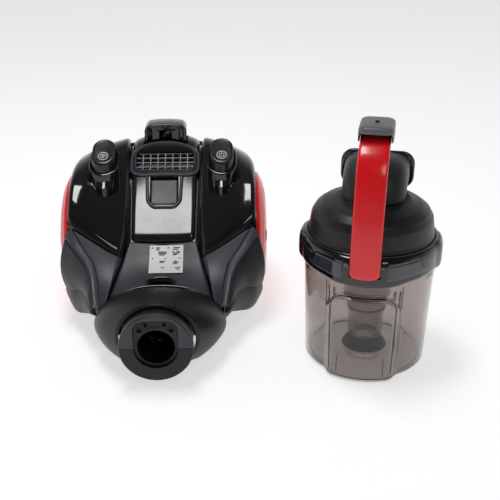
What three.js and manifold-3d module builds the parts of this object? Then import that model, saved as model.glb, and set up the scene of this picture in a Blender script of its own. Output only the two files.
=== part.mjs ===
// Canister vacuum cleaner: a bagless body on two large wheels and a caster, with its dust bin
// lifted out and standing beside it. Millimetres, +Z up, the hose socket faces -Y.
// The origin is on the floor, under the middle of the body and the bin together.
import * as THREE from "three";
import { mergeVertices } from "three/addons/utils/BufferGeometryUtils.js";
import Module from "manifold-3d";

const wasm = await Module();
wasm.setup();

// ---------------------------------------------------------------- driving dimensions
// Places on the body count from its mid-plane and from a line across it, 190 mm behind the socket.
const BIN_AT = [246, -110, 0]; // where the bin's axis stands
const BIN_TURN = THREE.MathUtils.degToRad(-13.5); // the bin's front points a little to the left

const WHEEL_R = 84;
const WHEEL_Y = 58; // the main axle's place along the body
const WHEEL_IN = 101; // the tyre's inner side, from the mid-plane
const WHEEL_OUT = 117; // the tyre's outer side
const COVER_OUT = 134; // the crown of the domed wheel cover
const ARCH_GAP = 3; // between the tyre and the wheel arch
const AXLE_R = 6;

const FLOOR_Z = 30; // underside of the chassis
const SOCKET_Z = 52; // height of the hose socket's axis
const SOCKET_FACE_Y = -190;
const SKIN = 4; // thickness of the covers

const CASTER_Y = -72;
const CASTER_TRAIL = 12;
const CASTER_R = 13;

const MOTOR_AT = [0, 96, 104];
const MOTOR_R = 30;
const REEL_AT = [0, 20, 0];

const PEDAL_X = 76;
const PEDAL_Y = 54;

const CUP_H = 130;
const CUP_R_TOP = 75.5;
const CUP_R_BASE = 71;
const CUP_WALL = 2.4;
const COLLAR_Z = [126, 156];
const COLLAR_R = 79;
const HANDLE_W = 33;

// ---------------------------------------------------------------- looks
const looks = {
  gloss_black: [0x101013, 0.12, 0],
  satin_black: [0x1a1a1d, 0.45, 0],
  matte_grey: [0x3a3d44, 0.55, 0],
  fender_grey: [0x2e3136, 0.5, 0],
  red: [0xc4121a, 0.2, 0],
  tyre: [0x161616, 0.8, 0],
  smoke: [0x6b625f, 0.1, 0],
  label: [0xf2f2ee, 0.5, 0],
  cap_grey: [0x6f7276, 0.45, 0],
  steel: [0xa8a8a8, 0.35, 1],
  foam: [0x8d9096, 0.95, 0],
  filter: [0xe6e6e0, 0.9, 0],
  board: [0x1e5a34, 0.6, 0],
};
const materials = Object.fromEntries(
  Object.entries(looks).map(([name, [color, roughness, metalness]]) => [
    name,
    new THREE.MeshStandardMaterial({ name, color, roughness, metalness }),
  ]),
);

// ---------------------------------------------------------------- solids
const V = (x, y, z) => new THREE.Vector3(x, y, z);

function solid(geometry) {
  const plain = geometry.index ? geometry.toNonIndexed() : geometry;
  const bare = new THREE.BufferGeometry().setAttribute("position", plain.getAttribute("position"));
  const merged = mergeVertices(bare, 1e-4);
  const tri = merged.index.array;
  const kept = [];
  for (let i = 0; i < tri.length; i += 3) {
    const [a, b, c] = [tri[i], tri[i + 1], tri[i + 2]];
    if (a !== b && b !== c && a !== c) kept.push(a, b, c);
  }
  const build = (order) =>
    new wasm.Manifold(
      new wasm.Mesh({
        numProp: 3,
        vertProperties: merged.attributes.position.array,
        triVerts: new Uint32Array(order),
      }),
    );
  const made = build(kept);
  if (made.volume() >= 0) return made;
  for (let i = 0; i < kept.length; i += 3) [kept[i + 1], kept[i + 2]] = [kept[i + 2], kept[i + 1]];
  return build(kept);
}

function geometryOf(manifold) {
  const mesh = manifold.getMesh();
  const points = new Float32Array(mesh.numVert * 3);
  for (let i = 0; i < mesh.numVert; i++)
    points.set(mesh.vertProperties.subarray(i * mesh.numProp, i * mesh.numProp + 3), i * 3);
  const geometry = new THREE.BufferGeometry()
    .setAttribute("position", new THREE.BufferAttribute(points, 3))
    .setIndex(new THREE.BufferAttribute(mesh.triVerts, 1))
    .toNonIndexed();
  geometry.computeVertexNormals();
  return geometry;
}

const box = (x0, x1, y0, y1, z0, z1) =>
  solid(
    new THREE.BoxGeometry(x1 - x0, y1 - y0, z1 - z0).translate(
      (x0 + x1) / 2,
      (y0 + y1) / 2,
      (z0 + z1) / 2,
    ),
  );

// A box with round upright edges, turned about X by tilt and centred at a point.
function tile(width, length, thick, radius, at, tilt = 0, steps = 4) {
  const w = width / 2 - radius;
  const l = length / 2 - radius;
  const shape = new THREE.Shape();
  shape.absarc(w, l, radius, 0, Math.PI / 2);
  shape.absarc(-w, l, radius, Math.PI / 2, Math.PI);
  shape.absarc(-w, -l, radius, Math.PI, 1.5 * Math.PI);
  shape.absarc(w, -l, radius, 1.5 * Math.PI, 2 * Math.PI);
  return solid(
    new THREE.ExtrudeGeometry(shape, { depth: thick, bevelEnabled: false, curveSegments: steps })
      .translate(0, 0, -thick / 2)
      .rotateX(tilt)
      .translate(...at),
  );
}

const ALONG = {
  x: (g) => g.rotateZ(-Math.PI / 2),
  y: (g) => g,
  z: (g) => g.rotateX(Math.PI / 2),
};

// A turned piece: profile points are [radius, distance along the axis].
function turned(profile, axis, at, segments = 32) {
  const points = profile.map(([r, h]) => new THREE.Vector2(r, h));
  return solid(ALONG[axis](new THREE.LatheGeometry(points, segments)).translate(...at));
}

const rod = (radius, from, to, axis, at, segments = 24) =>
  turned([[0, from], [radius, from], [radius, to], [0, to]], axis, at, segments);

// The closed skin between two grids of points of the same size.
function skinned(outer, inner, wrap = false) {
  const n = outer.length;
  const m = outer[0].length;
  const points = [];
  const quad = (a, b, c, d) => {
    for (const p of [a, b, c, a, c, d]) points.push(p.x, p.y, p.z);
  };
  const rows = wrap ? n : n - 1;
  for (let i = 0; i < rows; i++)
    for (let j = 0; j < m - 1; j++) {
      const k = (i + 1) % n;
      quad(outer[i][j], outer[k][j], outer[k][j + 1], outer[i][j + 1]);
      quad(inner[i][j], inner[i][j + 1], inner[k][j + 1], inner[k][j]);
    }
  for (let i = 0; i < rows; i++) {
    const k = (i + 1) % n;
    quad(outer[i][0], inner[i][0], inner[k][0], outer[k][0]);
    quad(outer[i][m - 1], outer[k][m - 1], inner[k][m - 1], inner[i][m - 1]);
  }
  if (!wrap)
    for (let j = 0; j < m - 1; j++) {
      quad(outer[0][j], outer[0][j + 1], inner[0][j + 1], inner[0][j]);
      quad(outer[n - 1][j], inner[n - 1][j], inner[n - 1][j + 1], outer[n - 1][j + 1]);
    }
  const geometry = new THREE.BufferGeometry();
  geometry.setAttribute("position", new THREE.Float32BufferAttribute(points, 3));
  return solid(geometry);
}

// A solid through closed rings of points, with flat ends.
function lofted(rings) {
  const points = [];
  const tri = (a, b, c) => {
    for (const p of [a, b, c]) points.push(p.x, p.y, p.z);
  };
  const middle = (loop) =>
    loop.reduce((sum, p) => sum.add(p), V(0, 0, 0)).divideScalar(loop.length);
  const n = rings[0].length;
  for (let i = 0; i < rings.length - 1; i++)
    for (let j = 0; j < n; j++) {
      const k = (j + 1) % n;
      tri(rings[i][j], rings[i][k], rings[i + 1][k]);
      tri(rings[i][j], rings[i + 1][k], rings[i + 1][j]);
    }
  const first = middle(rings[0].map((p) => p.clone()));
  const last = middle(rings.at(-1).map((p) => p.clone()));
  for (let j = 0; j < n; j++) {
    const k = (j + 1) % n;
    tri(first, rings[0][k], rings[0][j]);
    tri(last, rings.at(-1)[j], rings.at(-1)[k]);
  }
  const geometry = new THREE.BufferGeometry();
  geometry.setAttribute("position", new THREE.Float32BufferAttribute(points, 3));
  return solid(geometry);
}

const mirrored = (manifold) => manifold.scale([-1, 1, 1]);
const range = (n) => [...Array(n + 1).keys()].map((i) => i / n);

// ---------------------------------------------------------------- the body's upper surface
// Heights at a grid of places: a row for each step back from the nose, a column for each step
// out from the mid-plane. A uniform cubic B-spline runs through them.
const FIELD_X = 25;
const FIELD_Y0 = -120;
const FIELD_DY = 35;
const HEIGHTS = [
  [72, 71, 66, 52, 35, 20],
  [76, 76, 76, 70, 60, 50],
  [81, 82, 88, 96, 100, 98],
  [101, 103, 112, 125, 134, 138],
  [127, 129, 137, 150, 165, 168],
  [153, 154, 158, 168, 177, 172],
  [178, 177, 177, 181, 183, 170],
  [197, 196, 191, 187, 180, 160],
  [196, 193, 187, 179, 163, 140],
  [172, 169, 158, 144, 124, 100],
];

function heightAt(row, column) {
  const j = Math.min(Math.abs(column), 5);
  const value = (i) => HEIGHTS[i][j];
  if (row < 0) return value(0) - row * (value(0) - value(1));
  if (row > 9) return value(9) + (row - 9) * (value(9) - value(8));
  return value(row);
}

const splineWeights = (t) => [
  (1 - t) ** 3 / 6,
  (3 * t ** 3 - 6 * t * t + 4) / 6,
  (-3 * t ** 3 + 3 * t * t + 3 * t + 1) / 6,
  t ** 3 / 6,
];

function top(x, y) {
  const a = Math.abs(x) / FIELD_X;
  const b = (y - FIELD_Y0) / FIELD_DY;
  const wa = splineWeights(a - Math.floor(a));
  const wb = splineWeights(b - Math.floor(b));
  let z = 0;
  for (let q = 0; q < 4; q++)
    for (let p = 0; p < 4; p++)
      z += wb[q] * wa[p] * heightAt(Math.floor(b) - 1 + q, Math.floor(a) - 1 + p);
  return z;
}

function consoleHalf(y) {
  const along = (y - CONSOLE_NEAR.y) / (CONSOLE_FAR.y - CONSOLE_NEAR.y);
  return CONSOLE_NEAR.x + along * (CONSOLE_FAR.x - CONSOLE_NEAR.x);
}

// The console's crowned surface, between its two grooves.
function consoleTop(x, y) {
  const across = x / consoleHalf(y);
  return top(x, y) + CONSOLE_SINK + CONSOLE_CROWN * (1 - across * across);
}

// A plan outline by its four sides; a side is a list of [x, y] points that a curve runs through.
function planPatch(near, far, left, right) {
  const curve = (list) =>
    new THREE.CatmullRomCurve3(list.map(([x, y]) => V(x, y, 0)), false, "centripetal");
  const [n, f, l, r] = [near, far, left, right].map(curve);
  const corner = (s, t) => [[n.getPoint(0), n.getPoint(1)], [f.getPoint(0), f.getPoint(1)]][t][s];
  return (s, t) => {
    const blend = (ps, pt, axis) => {
      const across = (1 - t) * n.getPointAt(ps)[axis] + t * f.getPointAt(ps)[axis];
      const along = (1 - s) * l.getPointAt(pt)[axis] + s * r.getPointAt(pt)[axis];
      const flat =
        (1 - s) * (1 - t) * corner(0, 0)[axis] +
        s * (1 - t) * corner(1, 0)[axis] +
        (1 - s) * t * corner(0, 1)[axis] +
        s * t * corner(1, 1)[axis];
      return across + along - flat;
    };
    return [blend(s, t, "x"), blend(s, t, "y")];
  };
}

// How far a rounded edge of radius r has dropped at distances dx, dy from two sides.
function edgeDrop(dx, dy, r) {
  const out = Math.min(r, Math.hypot(Math.max(0, r - dx), Math.max(0, r - dy)));
  return r - Math.sqrt(r * r - out * out);
}

// A cover lying on the upper surface, with rounded edges and an open underside.
function cover(plan, size, { rise = 0, crown = 0, edge = 6, thick = SKIN, n = 10, m = 10 } = {}) {
  const [width, length] = size;
  const stops = (count, span) => {
    const inner = range(count - 4).map((q) => edge / span + q * (1 - (2 * edge) / span));
    return [0, (0.3 * edge) / span, ...inner, 1 - (0.3 * edge) / span, 1];
  };
  const across = stops(n, width);
  const along = stops(m, length);
  const grid = (sink) =>
    across.map((s) =>
      along.map((t) => {
        const [x, y] = plan(s, t);
        const drop = edgeDrop(
          Math.min(s, 1 - s) * width,
          Math.min(t, 1 - t) * length,
          edge,
        );
        const crowned = crown * (1 - (2 * s - 1) ** 2);
        return V(x, y, top(x, y) + rise + crowned - drop - sink);
      }),
    );
  return skinned(grid(0), grid(thick));
}

// ---------------------------------------------------------------- seams in plan
const CONSOLE_NEAR = { y: -12, x: 40.5 };
const CONSOLE_FAR = { y: 171, x: 47 };
const CONSOLE_SINK = -4;
const CONSOLE_CROWN = 6;
const GROOVE = 4; // between the console and a shoulder

const shoulderFront = [[50, -39], [66, -36], [86, -30], [103, -24], [118, -17]];
const crease = [[112, -23], [98, -40], [84, -54], [78, -70], [75, -88], [74, -104]];

// ---------------------------------------------------------------- body: covers
function shoulderCover() {
  const back = 170;
  const plan = planPatch(
    shoulderFront,
    [[consoleHalf(back) + GROOVE, back], [75, back - 4], [96, back - 12], [107, back - 20]],
    [[50, -39], [consoleHalf(0) + GROOVE, 0], [consoleHalf(back) + GROOVE, back]],
    [[118, -17], [119, 30], [118.5, 90], [107, back - 20]],
  );
  const wheelWell = rod(WHEEL_R + 2, 99.5, 150, "x", [0, WHEEL_Y, WHEEL_R], 48);
  return cover(plan, [66, 190], { rise: 3, edge: 7, n: 9, m: 10 })
    .subtract(wheelWell)
    .add(slopedCut(stadium(38.4, 52.4, 150, 230), 189))
    .subtract(stadium(31.4, 45.4, 130, 240));
}

function consoleCover() {
  const { x: near, y: y0 } = CONSOLE_NEAR;
  const { x: far, y: y1 } = CONSOLE_FAR;
  const plan = (s, t) => {
    const half = near + t * (far - near);
    return [(2 * s - 1) * half, y0 + t * (y1 - y0)];
  };
  const look = { rise: CONSOLE_SINK, crown: CONSOLE_CROWN, edge: 6, n: 8, m: 11 };
  const made = cover(plan, [84, 188], look);
  const window = tile(81, 41, 80, 2, [0, 90, 180], 0, 2);
  const pocket = tile(38, 40, 80, 7, [0, 48, 150], 0, 3);
  const catchHole = box(-30, 30, 117, 151, 150, 230);
  return made.subtract(window).subtract(pocket).subtract(catchHole);
}

// A frame with a rounded rectangular window, lying on the upper surface.
function drapedFrame(centre, outer, inner, rise, thick, segments = 28) {
  const around = range(segments).slice(0, -1);
  const loop = (half, a) => {
    const c = Math.cos(a * 2 * Math.PI);
    const s = Math.sin(a * 2 * Math.PI);
    const square = (v) => Math.sign(v) * Math.abs(v) ** 0.45;
    return [centre[0] + half[0] * square(c), centre[1] + half[1] * square(s)];
  };
  const grid = (sink) =>
    around.map((a) =>
      [0, 0.35, 1].map((q) => {
        const half = [0, 1].map((i) => outer[i] + q * (inner[i] - outer[i]));
        const [x, y] = loop(half, a);
        const dip = q === 0 ? 1.5 : q === 1 ? 1 : 0;
        return V(x, y, consoleTop(x, y) + rise - dip - sink);
      }),
    );
  return skinned(grid(0), grid(thick), true);
}

const GRILLE_TILT = Math.atan2(23, 35); // the slope of the console at the grille
const GRILLE_DEPTH = 10; // how far the grille's underside lies below the console there
const FILTER_DEPTH = 23.5;

function ventGrille() {
  const [width, length, bar, depth] = [80, 38, 1.6, 4];
  const [columns, rows] = [8, 5];
  const [pitchX, pitchY] = [width / columns, length / rows];
  let plate = box(-width / 2, width / 2, -length / 2, length / 2, 0, depth);
  for (let i = 0; i < columns; i++)
    for (let j = 0; j < rows; j++) {
      const x = -width / 2 + i * pitchX + bar / 2;
      const y = -length / 2 + j * pitchY + bar / 2;
      plate = plate.subtract(box(x, x + pitchX - bar, y, y + pitchY - bar, -1, depth + 1));
    }
  const degrees = THREE.MathUtils.radToDeg(GRILLE_TILT);
  return plate.rotate([degrees, 0, 0]).translate([0, 91.5, top(0, 89) - GRILLE_DEPTH]);
}

const premotorFilter = () =>
  tile(74, 38, 9, 4, [0, 95.5, top(0, 89) - FILTER_DEPTH], GRILLE_TILT, 2);

const pocketPlate = () => {
  const plan = (s, t) => [(2 * s - 1) * 18.2, 29.5 + t * 34];
  return cover(plan, [36, 34], { rise: 0, edge: 4, thick: 5, n: 6, m: 6 });
};

// The catch on top of the console that the bin's handle hooks into.
function handleCatch() {
  const block = new THREE.Shape();
  block.moveTo(-28.5, 172);
  block.lineTo(-28.5, 204);
  block.quadraticCurveTo(-27, 214, -19, 215);
  block.quadraticCurveTo(0, 218, 19, 215);
  block.quadraticCurveTo(27, 214, 28.5, 204);
  block.lineTo(28.5, 172);
  const body = solid(
    new THREE.ExtrudeGeometry(block, { depth: 30, bevelEnabled: false, curveSegments: 4 })
      .rotateX(Math.PI / 2)
      .translate(0, 149, 0),
  );
  const window = box(-8.5, 8.5, 100, 144, 190.5, 207.5);
  const slots = [-21.3, 21.3].map((x) => box(x - 2.8, x + 2.8, 110, 130, 190, 211));
  return body.subtract(window).subtract(slots[0]).subtract(slots[1]);
}

const PANEL_Y = [-93.5, -15.5];
const PANEL_SINK = -3.5;
const PANEL_CROWN = 4.5;
const panelHalf = (t) => 62 - t * 19.5;

function cradlePanel() {
  const plan = (s, t) => [(2 * s - 1) * panelHalf(t), PANEL_Y[0] + t * (PANEL_Y[1] - PANEL_Y[0])];
  const made = cover(plan, [104, 78], { rise: PANEL_SINK, crown: PANEL_CROWN, edge: 4, n: 9, m: 7 });
  return made.subtract(inletPort(0.4));
}

// The oval port where the dusty air goes up into the bin.
const inletPort = (grow) =>
  lofted(
    [40, 110].map((z) =>
      range(20)
        .slice(0, -1)
        .map((a) =>
          V(
            (15 + grow) * Math.cos(a * 2 * Math.PI),
            -80 + (8 + grow) * Math.sin(a * 2 * Math.PI),
            z,
          ),
        ),
    ),
  );

function ratingLabel() {
  const grid = (rise) =>
    range(5).map((s) =>
      range(5).map((t) => {
        const [x, y] = [-16 + s * 42, -63 + t * 41];
        const across = x / panelHalf((y - PANEL_Y[0]) / (PANEL_Y[1] - PANEL_Y[0]));
        return V(x, y, top(x, y) + PANEL_SINK + PANEL_CROWN * (1 - across * across) + rise);
      }),
    );
  return skinned(grid(1.8), grid(1.2));
}

function wingCover() {
  const plan = planPatch(
    [[64.5, -103], [69, -104], [74, -104]],
    [[50, -41.5], [66, -38.5], [86, -32.5], [103, -26.5], [112, -23]],
    [[64.5, -103], [59, -75], [53.5, -55], [50, -41.5]],
    [...crease].reverse(),
  );
  const wheelWell = rod(WHEEL_R + ARCH_GAP, 99.5, 150, "x", [0, WHEEL_Y, WHEEL_R], 48);
  return cover(plan, [34, 78], { rise: 0, edge: 4, n: 8, m: 9 }).subtract(wheelWell);
}

function fenderPlate() {
  const archY = (z) => WHEEL_Y - Math.sqrt((WHEEL_R + ARCH_GAP) ** 2 - (z - WHEEL_R) ** 2);
  const upper = [[118, 128], [105, 116], [90.5, 100], [83.5, 86], [80.5, 74], [79.5, 63]];
  const places = [-24, -41, -56, -71, -88, -103];
  const lows = [44, 50, 57, 60, 60, 54];
  const lower = [127, 117, 104, 95, 88, 83];
  const columns = places.map((y, i) => [V(upper[i][0], y, upper[i][1] - 4), V(lower[i], y, lows[i])]);
  const levels = range(6);
  const lines = levels.map((t) => {
    const points = columns.map(([a, b], i) => {
      const p = a.clone().lerp(b, t);
      const bulge = 4 * t * (1 - t);
      p.x += bulge * (7 - i);
      if (i === 0) p.y = archY(p.z) - 1;
      return p;
    });
    return new THREE.CatmullRomCurve3(points, false, "centripetal");
  });
  const along = range(10);
  const outer = along.map((s) => lines.map((line) => line.getPoint(s)));
  const inner = outer.map((column) => column.map((p) => V(p.x - 3.2, p.y + 1.2, p.z)));
  const wheelWell = rod(WHEEL_R + ARCH_GAP, 90, 150, "x", [0, WHEEL_Y, WHEEL_R], 48);
  return skinned(outer, inner).subtract(wheelWell);
}

function rearCover() {
  const across = range(12);
  const down = range(6);
  const outer = across.map((a) => {
    const u = 2 * a - 1;
    const x0 = 96 * u;
    const y0 = 176 - 10 * u ** 4;
    const z0 = top(x0, y0) + 0.5;
    return down.map((t) => {
      const out = Math.sin((t * Math.PI) / 2);
      const fall = 1 - Math.cos((t * Math.PI) / 2);
      const x = x0 * (1 - 0.03 * t);
      const y = y0 + (27 - 20 * Math.abs(u) ** 3) * out;
      return V(x, y, z0 + (38 - z0) * (0.75 * fall + 0.25 * t));
    });
  });
  const inner = outer.map((column) =>
    column.map((p) => V(p.x * 0.965, p.y - 3.6, p.z - 2.2 * (p.z > 60 ? 1 : 0))),
  );
  const opening = box(-59, 59, 170, 230, 76.5, 142);
  const gland = rod(9, 150, 230, "y", [-66, 0, 70], 20);
  return skinned(outer, inner).subtract(opening).subtract(gland);
}

// ---------------------------------------------------------------- body: exhaust
function exhaustCover() {
  const frame = tile(114, 60, 4, 8, [0, 201, 110], Math.PI / 2, 3);
  let made = frame;
  for (let i = 0; i < 5; i++) {
    const z = 90 + i * 10;
    made = made.subtract(box(-49, 49, 190, 210, z - 3, z + 3));
  }
  return made
    .add(box(-1.5, 1.5, 199.2, 202.8, 84, 136))
    .add(box(-12, 12, 202.5, 206, 132, 137))
    .add(rod(2.4, -50, 50, "x", [0, 200.5, 80.6], 12));
}

const exhaustFilter = () => tile(104, 52, 10, 4, [0, 189, 110], Math.PI / 2, 2);

// ---------------------------------------------------------------- body: nose and hose socket
const HOOD_STEPS = 18;
const HOOD_SWEEP = THREE.MathUtils.degToRad(138);

function noseHood() {
  const angles = range(HOOD_STEPS).map((q) => (2 * q - 1) * HOOD_SWEEP);
  const at = (a, t, shrink) => {
    const back = V(
      (79 - shrink) * Math.sin(a),
      -97 - 15 * (1 - Math.cos(a)),
      41 + (40 - shrink) * Math.cos(a),
    );
    const front = V(
      (47 - shrink) * Math.sin(a),
      -172 + 5 * (1 - Math.cos(a)),
      SOCKET_Z + (46 - shrink) * Math.cos(a),
    );
    const p = back.lerp(front, t);
    const swell = 5 * Math.sin(Math.PI * t);
    return V(p.x + swell * Math.sin(a), p.y, Math.max(p.z + swell * Math.cos(a), 9));
  };
  const outer = angles.map((a) => range(5).map((t) => at(a, t, 0)));
  const inner = angles.map((a) => range(5).map((t) => at(a, t, 3.5)));
  return skinned(outer, inner);
}

function socketBody() {
  const at = [0, SOCKET_FACE_Y, SOCKET_Z];
  const barrel = turned(
    [
      [21, 4], [30.6, 4], [30.6, 7], [41, 7], [41, 30], [30, 38], [30, 52], [24, 52], [24, 20],
      [21, 16], [21, 4],
    ],
    "y",
    at,
    28,
  );
  const lip = socketFace(7.5, 4.4).intersect(box(-60, 60, -300, 0, 0, SOCKET_Z));
  return barrel.add(lip);
}

// A prism with the outline of the socket's opening: round below, an arch with two corners above.
function keyway(shrink, from, to) {
  const [half, rise, corner] = [25 - shrink, 35 - shrink, 12];
  const shape = new THREE.Shape();
  shape.absarc(0, 0, half, Math.PI, 2 * Math.PI);
  shape.absarc(half - corner, rise - corner, corner, 0, Math.PI / 2);
  shape.absarc(corner - half, rise - corner, corner, Math.PI / 2, Math.PI);
  return solid(
    new THREE.ExtrudeGeometry(shape, { depth: to - from, bevelEnabled: false, curveSegments: 8 })
      .rotateX(Math.PI / 2)
      .translate(0, SOCKET_FACE_Y + to, SOCKET_Z),
  );
}

// The socket's front ring, with a thinner web inside it around the opening.
function socketFace(depth, web) {
  const at = [0, SOCKET_FACE_Y, SOCKET_Z];
  const profile = [[0, 0], [40, 0], [42, 2], [42, depth], [31, depth], [31, web], [0, web]];
  return turned(profile, "y", at, 28).subtract(keyway(0, -5, 20));
}

const socketRingUpper = () =>
  socketFace(6.6, 3.6).intersect(box(-60, 60, -300, 0, SOCKET_Z + 0.4, SOCKET_Z + 60));

// The arch above the hose hole, with the sockets of four electric contacts.
function contactPlate() {
  const at = [0, SOCKET_FACE_Y, SOCKET_Z];
  const upper = box(-40, 40, -300, 0, SOCKET_Z + 8, SOCKET_Z + 40);
  let made = keyway(0.4, 1.2, 3.6).intersect(upper).subtract(rod(23.5, 0, 5, "y", at, 28));
  for (const [x, z, r] of [[17.5, 23, 2.4], [10.5, 29.5, 1.7]])
    for (const side of [-1, 1])
      made = made.subtract(rod(r, 0, 5, "y", [side * x, SOCKET_FACE_Y, SOCKET_Z + z], 10));
  return made;
}

// The pipe from the hose socket up to the port under the bin.
function intakeDuct() {
  const path = new THREE.CatmullRomCurve3(
    [
      V(0, -137, SOCKET_Z),
      V(0, -118, SOCKET_Z),
      V(0, -98, SOCKET_Z + 1),
      V(0, -85, 58),
      V(0, -80.5, 66),
    ],
    false,
    "centripetal",
  );
  const loops = (rx, ry) =>
    range(6).map((t) => {
      const p = path.getPoint(t);
      const ahead = path.getTangent(t);
      const up = V(1, 0, 0).cross(ahead).normalize();
      const w = rx[0] + t * (rx[1] - rx[0]);
      const h = ry[0] + t * (ry[1] - ry[0]);
      return range(14)
        .slice(0, -1)
        .map((a) => {
          const c = w * Math.cos(a * 2 * Math.PI);
          const s = h * Math.sin(a * 2 * Math.PI);
          return p.clone().add(V(c, 0, 0)).addScaledVector(up, s);
        });
    });
  const outer = loops([20.5, 14.5], [20.5, 8]);
  const inner = loops([18, 12.5], [18, 6]);
  const across = (grid) => grid[0].map((_, j) => grid.map((row) => row[j]));
  return skinned(across(outer), across(inner), true);
}

// ---------------------------------------------------------------- body: pedals
const PEDAL_SLOPE = 0.45;
const stadium = (width, length, from, to) =>
  tile(width, length, to - from, width / 2 - 0.05, [PEDAL_X, PEDAL_Y, (from + to) / 2], 0, 4);

function slopedCut(manifold, heightAtCentre) {
  const angle = Math.atan(PEDAL_SLOPE);
  const knife = solid(new THREE.BoxGeometry(80, 160, 60).translate(0, 0, 30).rotateX(angle));
  return manifold.subtract(knife.translate([PEDAL_X, PEDAL_Y, heightAtCentre]));
}

function pedalButton() {
  const column = stadium(30, 44, 146, 230);
  return slopedCut(column, 201).subtract(rod(9.5, 140, 172, "z", [PEDAL_X, PEDAL_Y, 0], 16));
}

const pedalSpring = () => coilSpring(6.5, 1, 120, 169, 3, [PEDAL_X, PEDAL_Y]);

// A round wire wound into a spring that stands upright.
function coilSpring(radius, wire, from, to, turns, [x, y]) {
  class Helix extends THREE.Curve {
    getPoint(t) {
      const a = t * turns * 2 * Math.PI;
      return V(x + radius * Math.cos(a), y + radius * Math.sin(a), from + t * (to - from));
    }
  }
  const section = new THREE.Shape();
  section.absarc(0, 0, wire, 0, 2 * Math.PI);
  return solid(
    new THREE.ExtrudeGeometry(section, {
      steps: turns * 8,
      extrudePath: new Helix(),
      curveSegments: 2,
    }),
  );
}

// ---------------------------------------------------------------- body: chassis
const sideLine = [
  [-128, 46], [-112, 66], [-90, 79], [-60, 93], [-40, 96], [0, 96], [60, 96], [130, 96],
  [150, 95], [162, 90],
];

function chassisTub() {
  const half = new THREE.CatmullRomCurve3(
    sideLine.map(([y, x]) => V(x, y, 0)),
    false,
    "centripetal",
  );
  const right = range(13).map((t) => half.getPoint(t));
  const outline = [...right, ...[...right].reverse().map((p) => V(-p.x, p.y, 0))];
  const wall = 2.6;
  const narrowing = 0.98; // the floor is a little narrower than the rim
  const rim = (p) => {
    const limit = p.y < -95 ? 36 : p.y < -30 ? 60 : 148;
    return Math.min(top(p.x, p.y) - 12.5, limit);
  };
  const inward = (p) => V(p.x - Math.sign(p.x) * wall, p.y + (p.y < 0 ? wall : -wall), 0);
  const wallPoints = (p, z) => [
    V(p.x * narrowing, p.y, FLOOR_Z),
    V(p.x, p.y, z),
  ];
  const outer = outline.map((p) => wallPoints(p, rim(p)));
  const inner = outline.map((p) => wallPoints(inward(p), rim(p)));
  const floorEdge = outline.map((p) => new THREE.Vector2(p.x * (narrowing - 0.012), p.y * 0.992));
  const floorShape = new THREE.Shape(floorEdge);
  const floor = new THREE.ExtrudeGeometry(floorShape, { depth: 3, bevelEnabled: false });
  let made = skinned(outer, inner, true)
    .add(solid(floor.translate(0, 0, FLOOR_Z + 0.4)))
    .add(rod(9, FLOOR_Z, 44, "z", [0, CASTER_Y, 0], 16))
    .subtract(rod(4.4, 0, 42, "z", [0, CASTER_Y, 0], 12))
    .subtract(rod(22, -40, 0, "y", [0, -100, SOCKET_Z], 20))
    .subtract(box(-50, 50, 150, 175, 86, 134));
  for (const side of [-1, 1]) {
    const [from, to] = side > 0 ? [87, 98.5] : [-98.5, -87];
    made = made
      .add(rod(12, from, to, "x", [0, WHEEL_Y, WHEEL_R], 16))
      .add(rod(4, FLOOR_Z, 98.7, "z", [66, WHEEL_Y + 30 * side, 0], 8));
  }
  const cradle = box(-38, 38, 102, 138, FLOOR_Z + 1, 96)
    .subtract(rod(MOTOR_R + 0.4, -10, 60, "y", MOTOR_AT, 24))
    .subtract(box(-30, 30, 90, 150, 40, 66));
  return made
    .add(cradle)
    .add(rod(4.6, FLOOR_Z + 1, 65.5, "z", REEL_AT, 12))
    .subtract(rod(AXLE_R + 0.3, -120, 120, "x", [0, WHEEL_Y, WHEEL_R], 16));
}

// ---------------------------------------------------------------- body: inside
const motorCan = () =>
  turned(
    [[0, 0], [MOTOR_R - 2, 0], [MOTOR_R, 3], [MOTOR_R, 44], [20, 50], [0, 50]],
    "y",
    MOTOR_AT,
    24,
  ).subtract(rod(4.4, -10, 22, "y", MOTOR_AT, 12));

function impeller() {
  let made = turned(
    [[0, -24], [8, -24], [12, -13], [29, -11], [29, -9], [4, -9], [4, 18], [0, 18]],
    "y",
    MOTOR_AT,
    24,
  );
  for (let i = 0; i < 6; i++) {
    const blade = box(9, 28, -18, -10, -0.8, 0.8).rotate([0, i * 60, 0]).translate(MOTOR_AT);
    made = made.add(blade);
  }
  return made;
}

const cordReel = () =>
  turned(
    [
      [5, 37], [57, 37], [57, 39.5], [26, 39.5], [26, 60.5], [57, 60.5], [57, 63], [5, 63],
      [5, 37],
    ],
    "z",
    REEL_AT,
    24,
  );

const reelBrake = () =>
  box(-84, -68, 46, 62, FLOOR_Z + 3.8, 118.5).add(box(-72, -61, 20, 60, 46, 54));

const controlBoard = () =>
  tile(40, 84, 2, 2, [66, WHEEL_Y, 100], 0, 1).add(box(68, 84, 46, 62, 100.5, 118.5));

const cordGland = () =>
  turned([[5, -3], [11.5, -3], [11.5, 0], [8.6, 0.2], [8.6, 9], [5, 9], [5, -3]], "y", [0, 0, 0], 20)
    .rotate([0, 0, 180])
    .translate([-66, 205.6, 70]);

// ---------------------------------------------------------------- wheels
const wheelAt = (g) => g.translate([0, WHEEL_Y, WHEEL_R]);

const wheelTyre = () =>
  wheelAt(
    turned(
      [
        [67, WHEEL_IN], [WHEEL_R - 4, WHEEL_IN], [WHEEL_R, WHEEL_IN + 4],
        [WHEEL_R, WHEEL_OUT - 4], [WHEEL_R - 4, WHEEL_OUT], [67, WHEEL_OUT], [67, WHEEL_IN],
      ],
      "x",
      [0, 0, 0],
      36,
    ),
  );

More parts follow.
